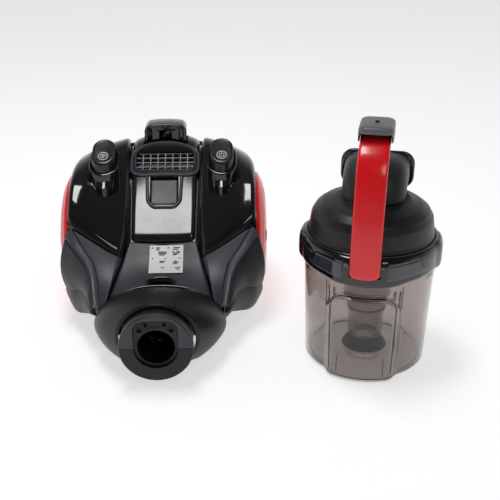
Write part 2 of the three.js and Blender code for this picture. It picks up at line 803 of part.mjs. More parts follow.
const wheelDisc = () =>
  wheelAt(
    turned(
      [
        [AXLE_R + 0.3, 102], [14, 102], [20, 109], [62, 102], [66.6, 102], [66.6, 116.6],
        [62, 116.6], [20, 113], [AXLE_R + 0.3, 113], [AXLE_R + 0.3, 102],
      ],
      "x",
      [0, 0, 0],
      28,
    ),
  );

const wheelCover = () =>
  wheelAt(
    turned(
      [
        [0, 129], [36, 128], [56, 124], [66, 117.4], [82, 117.4], [80, 123], [70, 128.6],
        [50, 133], [30, COVER_OUT], [0, COVER_OUT],
      ],
      "x",
      [0, 0, 0],
      36,
    ),
  );

const wheelAxle = () =>
  wheelAt(
    turned(
      [[0, 88], [AXLE_R, 88], [AXLE_R, 113.4], [9, 113.4], [9, 116.4], [0, 116.4]],
      "x",
      [0, 0, 0],
      16,
    ),
  );

// ---------------------------------------------------------------- caster
function casterFork() {
  const y = CASTER_Y;
  const disc = rod(16, 26.8, FLOOR_Z - 0.5, "z", [0, y, 0], 20);
  const stem = rod(4, 27, 41.5, "z", [0, y, 0], 12);
  const cheek = (x) => {
    const shape = new THREE.Shape();
    shape.moveTo(-10, 28);
    shape.lineTo(14, 28);
    shape.absarc(CASTER_TRAIL, CASTER_R, 6, 0.4, -Math.PI + 0.2, true);
    return solid(
      new THREE.ExtrudeGeometry(shape, { depth: 2.5, bevelEnabled: false, curveSegments: 6 })
        .applyMatrix4(new THREE.Matrix4().makeBasis(V(0, 1, 0), V(0, 0, 1), V(1, 0, 0)))
        .translate(x, y, 0),
    );
  };
  return disc
    .add(stem)
    .add(cheek(9.5))
    .add(cheek(-12))
    .subtract(rod(2.3, -20, 20, "x", [0, y + CASTER_TRAIL, CASTER_R], 12));
}

const casterRoller = () =>
  turned(
    [
      [2.4, -8.8], [CASTER_R - 2, -8.8], [CASTER_R, -6], [CASTER_R, 6], [CASTER_R - 2, 8.8],
      [2.4, 8.8], [2.4, -8.8],
    ],
    "x",
    [0, CASTER_Y + CASTER_TRAIL, CASTER_R],
    24,
  );

const casterAxle = () => rod(2, -12.5, 12.5, "x", [0, CASTER_Y + CASTER_TRAIL, CASTER_R], 12);

// ---------------------------------------------------------------- bin
const smooth = (a, b, v) => {
  const t = Math.min(1, Math.max(0, (v - a) / (b - a)));
  return t * t * (3 - 2 * t);
};

// How far the bay on the bin's front stands out, by the angle from the front and the height.
function bay(angle, z) {
  const arch = 112 - 16 * smooth(12, 34, Math.abs(angle)) ** 2;
  return 8 * (1 - smooth(24, 38, Math.abs(angle))) * (1 - smooth(arch - 6, arch, z));
}

function cupRadius(angle, z) {
  return CUP_R_BASE + (CUP_R_TOP - CUP_R_BASE) * (z / CUP_H) + bay(angle, z);
}

function cup() {
  const degrees = [];
  for (let a = -180; a < -45; a += 15) degrees.push(a);
  for (let a = -42; a <= 42; a += 7) degrees.push(a);
  for (let a = 45; a < 180; a += 15) degrees.push(a);
  const levels = [5, 86, 98, 107, 114, CUP_H];
  const place = (a, r, z) => {
    const radians = THREE.MathUtils.degToRad(a);
    return V(r * Math.sin(radians), -r * Math.cos(radians), z);
  };
  const outer = degrees.map((a) => levels.map((z) => place(a, cupRadius(a, z), z)));
  const inner = degrees.map((a) => levels.map((z) => place(a, cupRadius(a, z) - CUP_WALL, z)));
  const base = lofted(
    [0, 2, 5.5].map((z, i) => degrees.map((a) => place(a, cupRadius(a, 5) - [6, 1, 0.01][i], z))),
  );
  const stub = binAxis([[0, 5], [21, 5], [21, 8], [12, 8.2], [10, 20], [0, 20]], 20);
  return skinned(outer, inner, true).add(base).add(stub);
}

const binAxis = (profile, segments = 28) => turned(profile, "z", [0, 0, 0], segments);

// Flats and lugs around the collar.
function collar() {
  const [z0, z1] = COLLAR_Z;
  const degrees = range(40).slice(0, -1).map((t) => t * 360 - 180);
  const place = (a, r, z) => {
    const radians = THREE.MathUtils.degToRad(a);
    return V(r * Math.sin(radians), -r * Math.cos(radians), z);
  };
  const lug = (a) => 3 * (1 - smooth(8, 20, Math.abs(Math.abs(a) - 90)));
  const front = (a) => 3 * (1 - smooth(20, 38, Math.abs(a)));
  const dip = (a) => 2 * (1 - smooth(18, 46, Math.abs(a)));
  const outerProfile = [[-1.5, 0], [0, 3], [0, 24], [-3, 30], [-8, z1 - z0]];
  const outer = degrees.map((a) =>
    outerProfile.map(([dr, dz], i) => {
      const grow = lug(a) + front(a) * (i < 3 ? 1 : 0.4);
      return place(a, COLLAR_R + dr + grow, z0 + dz - (i < 2 ? dip(a) : 0));
    }),
  );
  const inner = degrees.map((a) =>
    [[76.4, 0], [76.4, 7], [70.2, 7.01], [70.2, 28], [70.2, z1 - z0]].map(([r, dz], i) =>
      place(a, r, z0 + dz - (i < 1 ? dip(a) : 0)),
    ),
  );
  const handleSeat = box(-HANDLE_W / 2 - 0.6, HANDLE_W / 2 + 0.6, -110, -74.6, 134.4, 170);
  return skinned(outer, inner, true).subtract(handleSeat);
}

const cupSeal = () =>
  binAxis([[71, 130.3], [75.4, 130.3], [75.4, 132.4], [71, 132.4], [71, 130.3]], 28);

// The dome's outer line from its foot to the hole on top, as [radius, height].
const DOME_LINE = [
  [73, 156.4], [72.6, 161], [70.8, 168], [67.4, 176], [62, 182.8], [55, 188.5], [45, 193.7],
  [30, 197],
];

const lidDome = () =>
  binAxis(
    [
      [70, 156.4], ...DOME_LINE, [30, 194], [44, 190.7], [53, 186], [59.8, 180.5], [65, 173.8],
      [68, 167], [69.6, 161], [70, 156.4],
    ],
    28,
  );

// The duct turns from straight up to straight back; t runs along it.
const DUCT = { y: 5, z: 183, bend: 29, run: 20 };

function ductSection(t, half, depth) {
  const arc = 0.65;
  const angle = (Math.min(1, t / arc) * Math.PI) / 2;
  const run = (DUCT.run * Math.max(0, t - arc)) / (1 - arc);
  const y = DUCT.y + DUCT.bend * (1 - Math.cos(angle)) + run;
  const z = DUCT.z + DUCT.bend * Math.sin(angle);
  const rounding = 0.9 - 0.35 * t;
  const squared = (v) => Math.sign(v) * Math.abs(v) ** rounding;
  return range(20)
    .slice(0, -1)
    .map((q) => {
      const w = half * squared(Math.cos(q * 2 * Math.PI));
      const d = depth * squared(Math.sin(q * 2 * Math.PI));
      return V(w, y + d * Math.cos(angle), z - d * Math.sin(angle));
    });
}

function outletDuct() {
  const outer = range(6).map((t) => ductSection(t, 36 + 2 * t, 26 - 4 * t));
  const inner = range(6).map((t) => ductSection(t, 33 + 2 * t, 23 - 4 * t));
  const across = (grid) => grid[0].map((_, j) => grid.map((row) => row[j]));
  const clear = 0.4;
  const line = DOME_LINE.map(([r, z]) => [r + clear, z + clear]);
  const dome = binAxis([[0, 100], [74, 100], ...line, [0, 197 + clear]], 28);
  return skinned(across(outer), across(inner), true).subtract(dome);
}

const FLANGE_Y = 58;
const FLANGE_Z = 212;

function ductFlange() {
  const outer = tile(86, 45, 6, 14, [0, FLANGE_Y, FLANGE_Z], Math.PI / 2, 4);
  const inner = tile(70, 33, 20, 10, [0, FLANGE_Y, FLANGE_Z], Math.PI / 2, 3);
  return outer.subtract(inner);
}

function ductSeal() {
  const y = FLANGE_Y + 5.1;
  const outer = tile(82, 41, 3.4, 12, [0, y, FLANGE_Z], Math.PI / 2, 3);
  const inner = tile(72, 35, 20, 10, [0, y, FLANGE_Z], Math.PI / 2, 3);
  return outer.subtract(inner);
}

// The handle follows a curve in the bin's middle plane: its outer line, as [y, z].
const handleLine = new THREE.CatmullRomCurve3(
  [
    [-87, 135], [-86.6, 155], [-84, 180], [-79.5, 205], [-73, 230], [-63, 251],
    [-47, 267.5], [-30, 275], [-10, 278.4],
  ].map(([y, z]) => V(0, y, z)),
  false,
  "centripetal",
);

function handleLayer(from, to, halfWidth) {
  const chamfer = 1.6;
  const rings = range(16).map((t) => {
    const p = handleLine.getPointAt(t);
    const along = handleLine.getTangentAt(t);
    const inward = V(0, along.z, -along.y);
    const place = (w, depth) => p.clone().addScaledVector(inward, depth).add(V(w, 0, 0));
    return [
      place(-halfWidth + chamfer, from), place(halfWidth - chamfer, from),
      place(halfWidth, from + chamfer), place(halfWidth, to),
      place(-halfWidth, to), place(-halfWidth, from + chamfer),
    ];
  });
  return lofted(rings);
}

const handleShell = () => handleLayer(0, 5.5, HANDLE_W / 2);
const handleLiner = () => handleLayer(5.8, 11.5, HANDLE_W / 2 - 1.2).add(handleEnd());

function releaseButton() {
  const [width, length, y] = [38, 50, -13];
  const outer = tile(width, length, 17, 9, [0, y, 280.5], 0, 4);
  const inside = tile(width - 4, length - 4, 20, 7, [0, y, 271.7], 0, 3);
  const handleWay = box(-width / 2 + 2, width / 2 - 2, y - length, y, 260, 281.7);
  return outer.subtract(inside).subtract(handleWay);
}

// A flat shape in the bin's middle plane, points [y, z], made width wide.
function midPlate(points, width) {
  const shape = new THREE.Shape(points.map(([y, z]) => new THREE.Vector2(y, z)));
  return solid(
    new THREE.ExtrudeGeometry(shape, { depth: width, bevelEnabled: false })
      .applyMatrix4(new THREE.Matrix4().makeBasis(V(0, 1, 0), V(0, 0, 1), V(1, 0, 0)))
      .translate(-width / 2, 0, 0),
  );
}

const handleEnd = () =>
  midPlate([[-12, 267], [-8, 262], [8, 262], [8, 276.5], [-8.6, 277.6], [-8.6, 271.5], [-12, 271.5]], 26)
    .subtract(box(-9, 9, -1, 20, 246, 272));

const latchHook = () =>
  midPlate(
    [[2, 255], [10, 255], [16.5, 249], [19, 253], [12.5, 261.5], [12.5, 268.5], [2, 268.5]],
    14,
  );

const vortexFinder = () =>
  binAxis(
    [
      [25, 193], [28, 193], [28, 80], [21, 68], [21, 62], [18.6, 62], [18.6, 68],
      [25.6, 80.6], [25, 193],
    ],
    24,
  );

const cycloneBarrel = () =>
  binAxis(
    [[18.4, 61.6], [23, 61.6], [23, 58.6], [20.5, 57], [20.5, 24], [18.4, 24], [18.4, 61.6]],
    24,
  );

const dustSkirt = () =>
  binAxis([[15, 23.6], [18.2, 23.6], [27, 9.5], [25, 8.5], [15, 21.5], [15, 23.6]], 24);

const cycloneDeck = () => binAxis([[28.4, 140], [69.8, 140], [69.8, 143], [28.4, 143], [28.4, 140]]);

// ---------------------------------------------------------------- assembly
const vacuum = new THREE.Group();
const body = new THREE.Group();
const bin = new THREE.Group();
bin.position.set(...BIN_AT);
bin.rotation.z = BIN_TURN;
vacuum.add(body, bin);

function add(group, name, look, manifold) {
  const mesh = new THREE.Mesh(geometryOf(manifold), materials[look]);
  mesh.name = name;
  group.add(mesh);
}

function addPair(group, name, look, manifold) {
  add(group, `right_${name}`, look, manifold);
  add(group, `left_${name}`, look, mirrored(manifold));
}

add(body, "chassis_tub", "satin_black", chassisTub());
addPair(body, "shoulder_cover", "gloss_black", shoulderCover());
add(body, "console_cover", "gloss_black", consoleCover());
add(body, "grille_frame", "matte_grey", drapedFrame([0, 90], [46.5, 25.5], [38.5, 19.5], 4.3, 2.4));
add(body, "vent_grille", "satin_black", ventGrille());
add(body, "premotor_filter", "foam", premotorFilter());
add(body, "pocket_plate", "satin_black", pocketPlate());
add(body, "handle_catch", "gloss_black", handleCatch());
add(body, "cradle_panel", "matte_grey", cradlePanel());
add(body, "rating_label", "label", ratingLabel());
addPair(body, "wing_cover", "matte_grey", wingCover());
addPair(body, "fender_plate", "fender_grey", fenderPlate());
add(body, "rear_cover", "gloss_black", rearCover());
add(body, "exhaust_cover", "satin_black", exhaustCover());
add(body, "exhaust_filter", "filter", exhaustFilter());
add(body, "nose_hood", "satin_black", noseHood());
add(body, "socket_body", "satin_black", socketBody());
add(body, "socket_ring", "matte_grey", socketRingUpper());
add(body, "contact_plate", "satin_black", contactPlate());
add(body, "intake_duct", "satin_black", intakeDuct());

addPair(body, "pedal_spring", "steel", pedalSpring());
add(body, "power_pedal", "gloss_black", pedalButton());
add(body, "rewind_pedal", "gloss_black", mirrored(pedalButton()));
add(body, "motor", "steel", motorCan());
add(body, "impeller", "cap_grey", impeller());
add(body, "cord_reel", "cap_grey", cordReel());
add(body, "reel_brake", "satin_black", reelBrake());
add(body, "control_board", "board", controlBoard());
add(body, "cord_gland", "satin_black", cordGland());
addPair(body, "tyre", "tyre", wheelTyre());
addPair(body, "wheel_disc", "satin_black", wheelDisc());
addPair(body, "wheel_cover", "red", wheelCover());
addPair(body, "wheel_axle", "steel", wheelAxle());
add(body, "caster_fork", "satin_black", casterFork());
add(body, "caster_roller", "tyre", casterRoller());
add(body, "caster_axle", "steel", casterAxle());

add(bin, "cup", "smoke", cup());
add(bin, "bin_collar", "gloss_black", collar());
add(bin, "cup_seal", "tyre", cupSeal());
add(bin, "cyclone_deck", "satin_black", cycloneDeck());
add(bin, "lid_dome", "satin_black", lidDome());
add(bin, "outlet_duct", "matte_grey", outletDuct());
add(bin, "duct_flange", "gloss_black", ductFlange());
add(bin, "duct_seal", "tyre", ductSeal());
add(bin, "handle_shell", "red", handleShell());
add(bin, "handle_liner", "satin_black", handleLiner());
add(bin, "release_button", "cap_grey", releaseButton());
add(bin, "latch_hook", "satin_black", latchHook());
add(bin, "vortex_finder", "smoke", vortexFinder());
add(bin, "cyclone_barrel", "smoke", cycloneBarrel());
add(bin, "dust_skirt", "satin_black", dustSkirt());

const middle = new THREE.Box3().setFromObject(vacuum, true).getCenter(new THREE.Vector3());
vacuum.position.set(-middle.x, -middle.y, 0);

export default vacuum;
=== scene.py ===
"""Canister vacuum cleaner with its dust bin lifted out and standing beside it.

Shapes are given in millimetres in two local frames, and build() takes them to metres. The body's frame
counts from its mid-plane and from a line across it 190 mm behind the hose socket. The bin's frame has its
axis at the origin and its front towards -Y.
"""
import math
from bisect import bisect_right

import bmesh
import bpy
from mathutils import Matrix, Vector


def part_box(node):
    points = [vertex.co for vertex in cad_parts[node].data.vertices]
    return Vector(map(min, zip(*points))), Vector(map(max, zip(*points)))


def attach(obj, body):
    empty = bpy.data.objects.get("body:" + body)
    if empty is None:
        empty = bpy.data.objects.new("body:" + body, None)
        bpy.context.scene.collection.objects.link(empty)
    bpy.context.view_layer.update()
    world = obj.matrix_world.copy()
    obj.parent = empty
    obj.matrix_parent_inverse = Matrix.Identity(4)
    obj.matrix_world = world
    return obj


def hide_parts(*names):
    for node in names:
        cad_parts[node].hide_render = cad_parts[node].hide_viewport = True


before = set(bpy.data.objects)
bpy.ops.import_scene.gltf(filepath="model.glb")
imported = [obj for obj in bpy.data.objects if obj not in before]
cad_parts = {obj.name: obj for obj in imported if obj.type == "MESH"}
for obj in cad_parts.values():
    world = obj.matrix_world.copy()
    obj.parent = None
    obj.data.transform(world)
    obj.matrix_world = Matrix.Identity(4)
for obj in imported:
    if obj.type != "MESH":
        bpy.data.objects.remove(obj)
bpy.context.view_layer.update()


# ---------------------------------------------------------------- places
def middle(node):
    low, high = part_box(node)
    return (Vector(low) + Vector(high)) / 2


MM = Matrix.Scale(0.001, 4)
BODY_AT = Vector((middle("console_cover").x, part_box("socket_ring")[0][1] + 0.190, 0))
BIN_AT = Vector((middle("cyclone_deck").x, middle("cyclone_deck").y, 0))
BIN_TURN = math.radians(-13.5)
BODY = Matrix.Translation(BODY_AT) @ MM
BIN = Matrix.Translation(BIN_AT) @ Matrix.Rotation(BIN_TURN, 4, "Z") @ MM

WHEEL = (58, 84)  # the main axle's y and z
SOCKET = (-190, 52)  # the socket face's y and its axis's z
PEDAL = (76, 54)
CASTER = (-72, 12, 13)  # swivel y, trail, roller radius
FAN = (96, 104)  # y, and the z of the axis it shares with the motor
CORD_OUTLET = (-66, 70)  # x and z
EXHAUST_HINGE = (200.5, 80.6)  # y and z
BOTH_ON_BODY = ("body", "body")
FROM_XZ = Matrix.Rotation(math.pi / 2, 4, "X")  # stands up an outline drawn in XZ
FROM_YZ = Matrix(((0, 0, 1, 0), (1, 0, 0, 0), (0, 1, 0, 0), (0, 0, 0, 1)))  # the same for YZ


# ---------------------------------------------------------------- mesh tools
def placed(name, data):
    obj = bpy.data.objects.new(name, data)
    bpy.context.collection.objects.link(obj)
    return obj


def build(name, verts, faces, place=BODY):
    mesh = bpy.data.meshes.new(name)
    mesh.from_pydata([place @ Vector(v) for v in verts], [], faces)
    bm = bmesh.new()
    bm.from_mesh(mesh)
    bmesh.ops.remove_doubles(bm, verts=bm.verts, dist=2e-6)
    bmesh.ops.dissolve_degenerate(bm, edges=bm.edges, dist=1e-7)
    bmesh.ops.recalc_face_normals(bm, faces=bm.faces)
    bm.to_mesh(mesh)
    bm.free()
    return placed(name, mesh)


def skin(name, outer, inner, wrap=False, place=BODY):
    """A closed skin between two grids of points."""
    n, m = len(outer), len(outer[0])
    verts = [p for row in outer for p in row] + [p for row in inner for p in row]

    def at(side, i, j):
        return side * n * m + (i % n) * m + j

    faces = []
    for i in range(n if wrap else n - 1):
        for j in range(m - 1):
            faces.append([at(0, i, j), at(0, i + 1, j), at(0, i + 1, j + 1), at(0, i, j + 1)])
            faces.append([at(1, i, j), at(1, i, j + 1), at(1, i + 1, j + 1), at(1, i + 1, j)])
        for j in (0, m - 1):
            faces.append([at(0, i, j), at(1, i, j), at(1, i + 1, j), at(0, i + 1, j)])
    if not wrap:
        for i in (0, n - 1):
            for j in range(m - 1):
                faces.append([at(0, i, j), at(0, i, j + 1), at(1, i, j + 1), at(1, i, j)])
    return build(name, verts, faces, place)


def sheet(name, across, along, pair, wrap=False, place=BODY):
    """A skin whose two sides at (s, t) are the two points that pair(s, t) gives."""
    cells = [[pair(s, t) for t in along] for s in across]
    outer, inner = ([[cell[side] for cell in row] for row in cells] for side in (0, 1))
    return skin(name, outer, inner, wrap, place)


def loft(name, rings, place=BODY, closed=False):
    """A solid through rings of points, with flat ends or joined up end to end."""
    n, m = len(rings), len(rings[0])
    verts = [p for ring in rings for p in ring]
    faces = []
    for i in range(n if closed else n - 1):
        a, b = i * m, ((i + 1) % n) * m
        faces += [[a + j, a + (j + 1) % m, b + (j + 1) % m, b + j] for j in range(m)]
    if not closed:
        faces += [list(range(m))[::-1], list(range((n - 1) * m, n * m))]
    return build(name, verts, faces, place)


def fillet(points, radius, steps=4, closed=False):
    """A line of points with its corners rounded. A point may carry a radius of its own."""
    out = []
    n = len(points)
    for i, point in enumerate(points):
        b = Vector(point[:2])
        r = point[2] if len(point) > 2 else radius
        if r == 0 or (not closed and i in (0, n - 1)):
            out.append(tuple(b))
            continue
        to_a = Vector(points[i - 1][:2]) - b
        to_c = Vector(points[(i + 1) % n][:2]) - b
        half = max(0.05, to_a.angle(to_c) / 2)
        reach = min(r / math.tan(half), 0.48 * to_a.length, 0.48 * to_c.length)
        p, q = b + to_a.normalized() * reach, b + to_c.normalized() * reach
        for k in range(steps + 1):
            t = k / steps
            out.append(tuple((1 - t) ** 2 * p + 2 * t * (1 - t) * b + t * t * q))
    return out


AXES = {
    "x": lambda r, h, c, s: (h, r * c, r * s),
    "y": lambda r, h, c, s: (r * c, h, r * s),
    "z": lambda r, h, c, s: (r * c, r * s, h),
}


def turns(n):
    return [math.tau * k / n for k in range(n)]


def lathe(name, profile, axis="z", at=(0, 0, 0), radius=0.6, segments=96, place=BIN, hollow=False):
    """A turned piece. Profile points are (radius, distance along the axis), rounded at corners."""
    line = fillet(profile, radius, closed=hollow)
    rings = []
    for a in turns(segments):
        points = [AXES[axis](r, h, math.cos(a), math.sin(a)) for r, h in line]
        rings.append([(x + at[0], y + at[1], z + at[2]) for x, y, z in points])
    if hollow:
        return loft(name, rings, place, closed=True)
    m = len(line)
    verts = [p for ring in rings for p in ring]
    faces = []
    for k in range(segments):
        a, b = k * m, ((k + 1) % segments) * m
        faces += [[a + j, a + j + 1, b + j + 1, b + j] for j in range(m - 1)]
    return build(name, verts, faces, place)


def tube(*shape, **options):
    """A turned piece with a closed profile that keeps off its axis."""
    return lathe(*shape, hollow=True, **options)


def band(near, far, low, high):
    """A turned piece's profile with square corners, from one radius to another."""
    return [(near, low), (far, low), (far, high), (near, high)]


def inset(outline, distance):
    """A closed outline, anticlockwise, moved inwards."""
    n = len(outline)
    out = []
    for i in range(n):
        a, b, c = (Vector(outline[(i + k) % n]) for k in (-1, 0, 1))
        n1 = Vector((-(b - a).y, (b - a).x)).normalized()
        n2 = Vector((-(c - b).y, (c - b).x)).normalized()
        both = n1 + n2
        out.append(tuple(b + both * (distance / max(0.4, 1 + n1.dot(n2)))))
    return out


def prism(name, outline, low, high, edge=0.8, turn=Matrix(), place=BODY, steps=4):
    """An outline in XY extruded from low to high with rounded edges, then turned by a matrix."""
    rings = []
    for k in range(steps + 1):
        a = math.pi / 2 * k / steps
        rings.append((edge * (1 - math.sin(a)), low + edge * (1 - math.cos(a))))
    rings += [(d, low + high - z) for d, z in rings[::-1]]
    loops = [[(x, y, z) for x, y in inset(outline, d)] for d, z in rings]
    return loft(name, loops, place @ turn)


def round_rect(width, length, radius, steps=10, centre=(0, 0)):
    w, l = width / 2 - radius, length / 2 - radius
    out = []
    for q, (sx, sy) in enumerate(((1, 1), (-1, 1), (-1, -1), (1, -1))):
        for k in range(steps + 1):
            a = math.pi / 2 * (q + k / steps)
            out.append((centre[0] + sx * w + radius * math.cos(a),
                        centre[1] + sy * l + radius * math.sin(a)))
    return out


def tile(name, width, length, thick, radius, at, tilt=0.0, edge=0.6, place=BODY):
    turn = Matrix.Translation(at) @ Matrix.Rotation(tilt, 4, "X")
    return prism(name, round_rect(width, length, radius), -thick / 2, thick / 2, edge, turn, place)


def block(x0, x1, y0, y1, z0, z1, edge=0.0, name="block", place=BODY):
    outline = [(x0, y0), (x1, y0), (x1, y1), (x0, y1)]
    if edge:
        return prism(name, fillet(outline, edge, closed=True), z0, z1, edge, place=place)
    return loft(name, [[(x, y, z) for x, y in outline] for z in (z0, z1)], place)


def bake(obj):
    graph = bpy.context.evaluated_depsgraph_get()
    mesh = bpy.data.meshes.new_from_object(obj.evaluated_get(graph))
    obj.modifiers.clear()
    obj.data = mesh
    return obj


def cut(obj, *tools, operation="DIFFERENCE"):
    for tool in tools:
        modifier = obj.modifiers.new("cut", "BOOLEAN")
        modifier.operation = operation
        modifier.object = tool
        modifier.solver = "EXACT"
        bake(obj)
        bpy.data.objects.remove(tool)
    return obj


def soften(obj, width, segments=2, angle=35):
    """Rounds the sharp edges of a piece."""
    modifier = obj.modifiers.new("soften", "BEVEL")
    modifier.width = width * 0.001
    modifier.segments = segments
    modifier.limit_method = "ANGLE"
    modifier.angle_limit = math.radians(angle)
    return bake(obj)


def from_bmesh(name, bm):
    mesh = bpy.data.meshes.new(name)
    bm.to_mesh(mesh)
    bm.free()
    return placed(name, mesh)


def merged(name, *parts):
    """Several solids as one piece."""
    bm = bmesh.new()
    for part in parts:
        bm.from_mesh(part.data)
        bpy.data.objects.remove(part)
    return from_bmesh(name, bm)


def mirrored(obj, name):
    """The same piece on the other side of the body's mid-plane."""
    bm = bmesh.new()
    bm.from_mesh(obj.data)
    for v in bm.verts:
        v.co.x = 2 * BODY_AT.x - v.co.x
    bmesh.ops.reverse_faces(bm, faces=bm.faces)
    return from_bmesh(name, bm)


def done(obj, look, body, *nodes, slot=None, sharp=32):
    obj.data.materials.clear()
    obj.data.materials.append(LOOKS[look])
    obj.data.shade_smooth()
    obj.data.set_sharp_from_angle(angle=math.radians(sharp))
    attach(obj, body)
    if nodes:
        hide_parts(*nodes)
    slot or look
    return obj


def both(obj, look, node=None, bodies=BOTH_ON_BODY, slot=None):
    """A piece for the right side and its mirror image for the left, bodies given right then left."""
    twin = mirrored(obj, obj.name.replace("right_", "left_"))
    for made, side, body in ((obj, "right", bodies[0]), (twin, "left", bodies[1])):
        done(made, look, body, *([f"{side}_{node}"] if node else []), slot=slot)


def steps_to(n):
    return [i / n for i in range(n + 1)]


def smooth(a, b, v):
    t = min(1.0, max(0.0, (v - a) / (b - a)))
    return t * t * (3 - 2 * t)


# ---------------------------------------------------------------- materials
def shader(name, **fixed):
    mat = bpy.data.materials.new(name)
    mat.use_nodes = True
    principled = mat.node_tree.nodes["Principled BSDF"]
    for socket, value in fixed.items():
        principled.inputs[socket.replace("_", " ")].default_value = value
    return mat, principled, node(mat, "TexCoord").outputs["Object"]


def feed(mat, socket, value):
    """Gives a socket a value of its own, or links it to another node's output."""
    if isinstance(value, bpy.types.NodeSocket):
        mat.node_tree.links.new(value, socket)
    else:
        socket.default_value = value


def node(mat, kind, **inputs):
    made = mat.node_tree.nodes.new(f"ShaderNode{kind}")
    for name, value in inputs.items():
        feed(mat, made.inputs[name.replace("_", " ")], value)
    return made


def noise(mat, coords, scale, detail=4, stretch=None, rough=0.5):
    if stretch:
        coords = node(mat, "Mapping", Scale=stretch, Vector=coords).outputs["Vector"]
    return node(mat, "TexNoise", Scale=scale, Detail=detail, Roughness=rough, Vector=coords).outputs["Fac"]


def ramp(mat, value, low, high, to_low=0.0, to_high=1.0):
    return node(mat, "MapRange", Value=value, From_Min=low, From_Max=high,
                To_Min=to_low, To_Max=to_high).outputs["Result"]


def maths(mat, operation, a, b):
    made = node(mat, "Math")
    made.operation = operation
    for socket, value in zip(made.inputs, (a, b)):
        feed(mat, socket, value)
    return made.outputs["Value"]


def mix(mat, factor, a, b):
    made = node(mat, "Mix", Factor=factor)
    made.data_type = "RGBA"
    for socket, value in ((made.inputs[6], a), (made.inputs[7], b)):
        feed(mat, socket, (*value, 1) if isinstance(value, tuple) else value)
    return made.outputs[2]


def worn_edges(mat):
    """Where an edge is rubbed: sharp convex places."""
    return ramp(mat, node(mat, "NewGeometry").outputs["Pointiness"], 0.53, 0.62)


def bump(mat, principled, height, distance):
    made = node(mat, "Bump", Strength=1.0, Distance=distance, Height=height)
    feed(mat, principled.inputs["Normal"], made.outputs["Normal"])


def plastic(name, colour, rough, spread=0.05, grain=900, depth=0.00003, scratch=0.0, wear=0.15,
            tint=0.12, **fixed):
    """Moulded plastic: a little colour drift, uneven gloss, fine grain, hairline scratches, rubbed edges."""
    mat, principled, coords = shader(name, **fixed)
    drift = noise(mat, coords, 9, 3)
    darker = tuple(c * (1 - tint) for c in colour)
    lighter = tuple(min(1, c * (1 + tint)) for c in colour)
    shade = mix(mat, drift, darker, lighter)
    if wear:
        broken = maths(mat, "MULTIPLY", worn_edges(mat), noise(mat, coords, 260, 3))
        rubbed = tuple(min(1, c * 1.6 + 0.03) for c in colour)
        shade = mix(mat, maths(mat, "MULTIPLY", broken, wear), shade, rubbed)
    feed(mat, principled.inputs["Base Color"], shade)
    patchy = noise(mat, coords, 22, 5)
    uneven = ramp(mat, patchy, 0.3, 0.7, rough - spread, rough + spread)
    if scratch:
        hair = noise(mat, coords, 60, 2, stretch=(1, 26, 4))
        crossed = noise(mat, coords, 60, 2, stretch=(22, 1.5, 3))
        line = maths(mat, "MAXIMUM", ramp(mat, hair, 0.66, 0.7), ramp(mat, crossed, 0.67, 0.71))
        uneven = maths(mat, "ADD", uneven, maths(mat, "MULTIPLY", line, scratch))
    feed(mat, principled.inputs["Roughness"], uneven)
    bump(mat, principled, noise(mat, coords, grain, 2), depth)
    return mat


DUST, DIRT = (0.75, 0.72, 0.68), (0.2, 0.18, 0.15)


def clear_plastic(name, colour, rough):
    mat, principled, coords = shader(name, IOR=1.46, Transmission_Weight=1.0)
    drift = noise(mat, coords, 14, 4)
    tinted = mix(mat, drift, tuple(c * 0.93 for c in colour), tuple(min(1, c * 1.05) for c in colour))
    dust = ramp(mat, noise(mat, coords, 420, 3, rough=0.6), 0.7, 0.8, 0, 0.35)
    feed(mat, principled.inputs["Base Color"], mix(mat, dust, tinted, DUST))
    hazy = ramp(mat, noise(mat, coords, 30, 5), 0.35, 0.75, rough, rough + 0.09)
    hair = ramp(mat, noise(mat, coords, 70, 2, stretch=(1, 1, 18)), 0.66, 0.7, 0, 0.12)
    feed(mat, principled.inputs["Roughness"], maths(mat, "ADD", hazy, hair))
    bump(mat, principled, noise(mat, coords, 35, 2), 0.00006)
    return mat


def rubber(name, colour, rough):
    return plastic(name, colour, rough, spread=0.08, grain=1500, depth=0.00006, wear=0.35)


def metal(name, colour, rough):
    mat, principled, coords = shader(name, Metallic=1.0)
    brushed = noise(mat, coords, 300, 3, stretch=(1, 1, 30))
    feed(mat, principled.inputs["Roughness"], ramp(mat, brushed, 0.3, 0.7, rough - 0.1, rough + 0.12))
    shade = mix(mat, noise(mat, coords, 30), tuple(c * 0.8 for c in colour), colour)
    feed(mat, principled.inputs["Base Color"], shade)
    bump(mat, principled, brushed, 0.00001)
    return mat


def fibre(name, colour, scale, depth):
    """Open-cell foam, also filter paper, with painted shade darkening its pits."""
    mat, principled, coords = shader(name, Roughness=0.95, Sheen_Weight=0.3)
    depths = node(mat, "TexVoronoi", Scale=scale, Vector=coords).outputs["Distance"]
    dirty = noise(mat, coords, 25, 4)
    # Painted shade: the colour falls to a third where the bump is deepest, in the pores.
    pore_shade = mix(mat, ramp(mat, depths, 0.1, 0.6), tuple(c * 0.35 for c in colour), colour)
    feed(mat, principled.inputs["Base Color"], mix(mat, ramp(mat, dirty, 0.4, 0.8, 0, 0.4), pore_shade, DIRT))
    bump(mat, principled, depths, depth)
    return mat


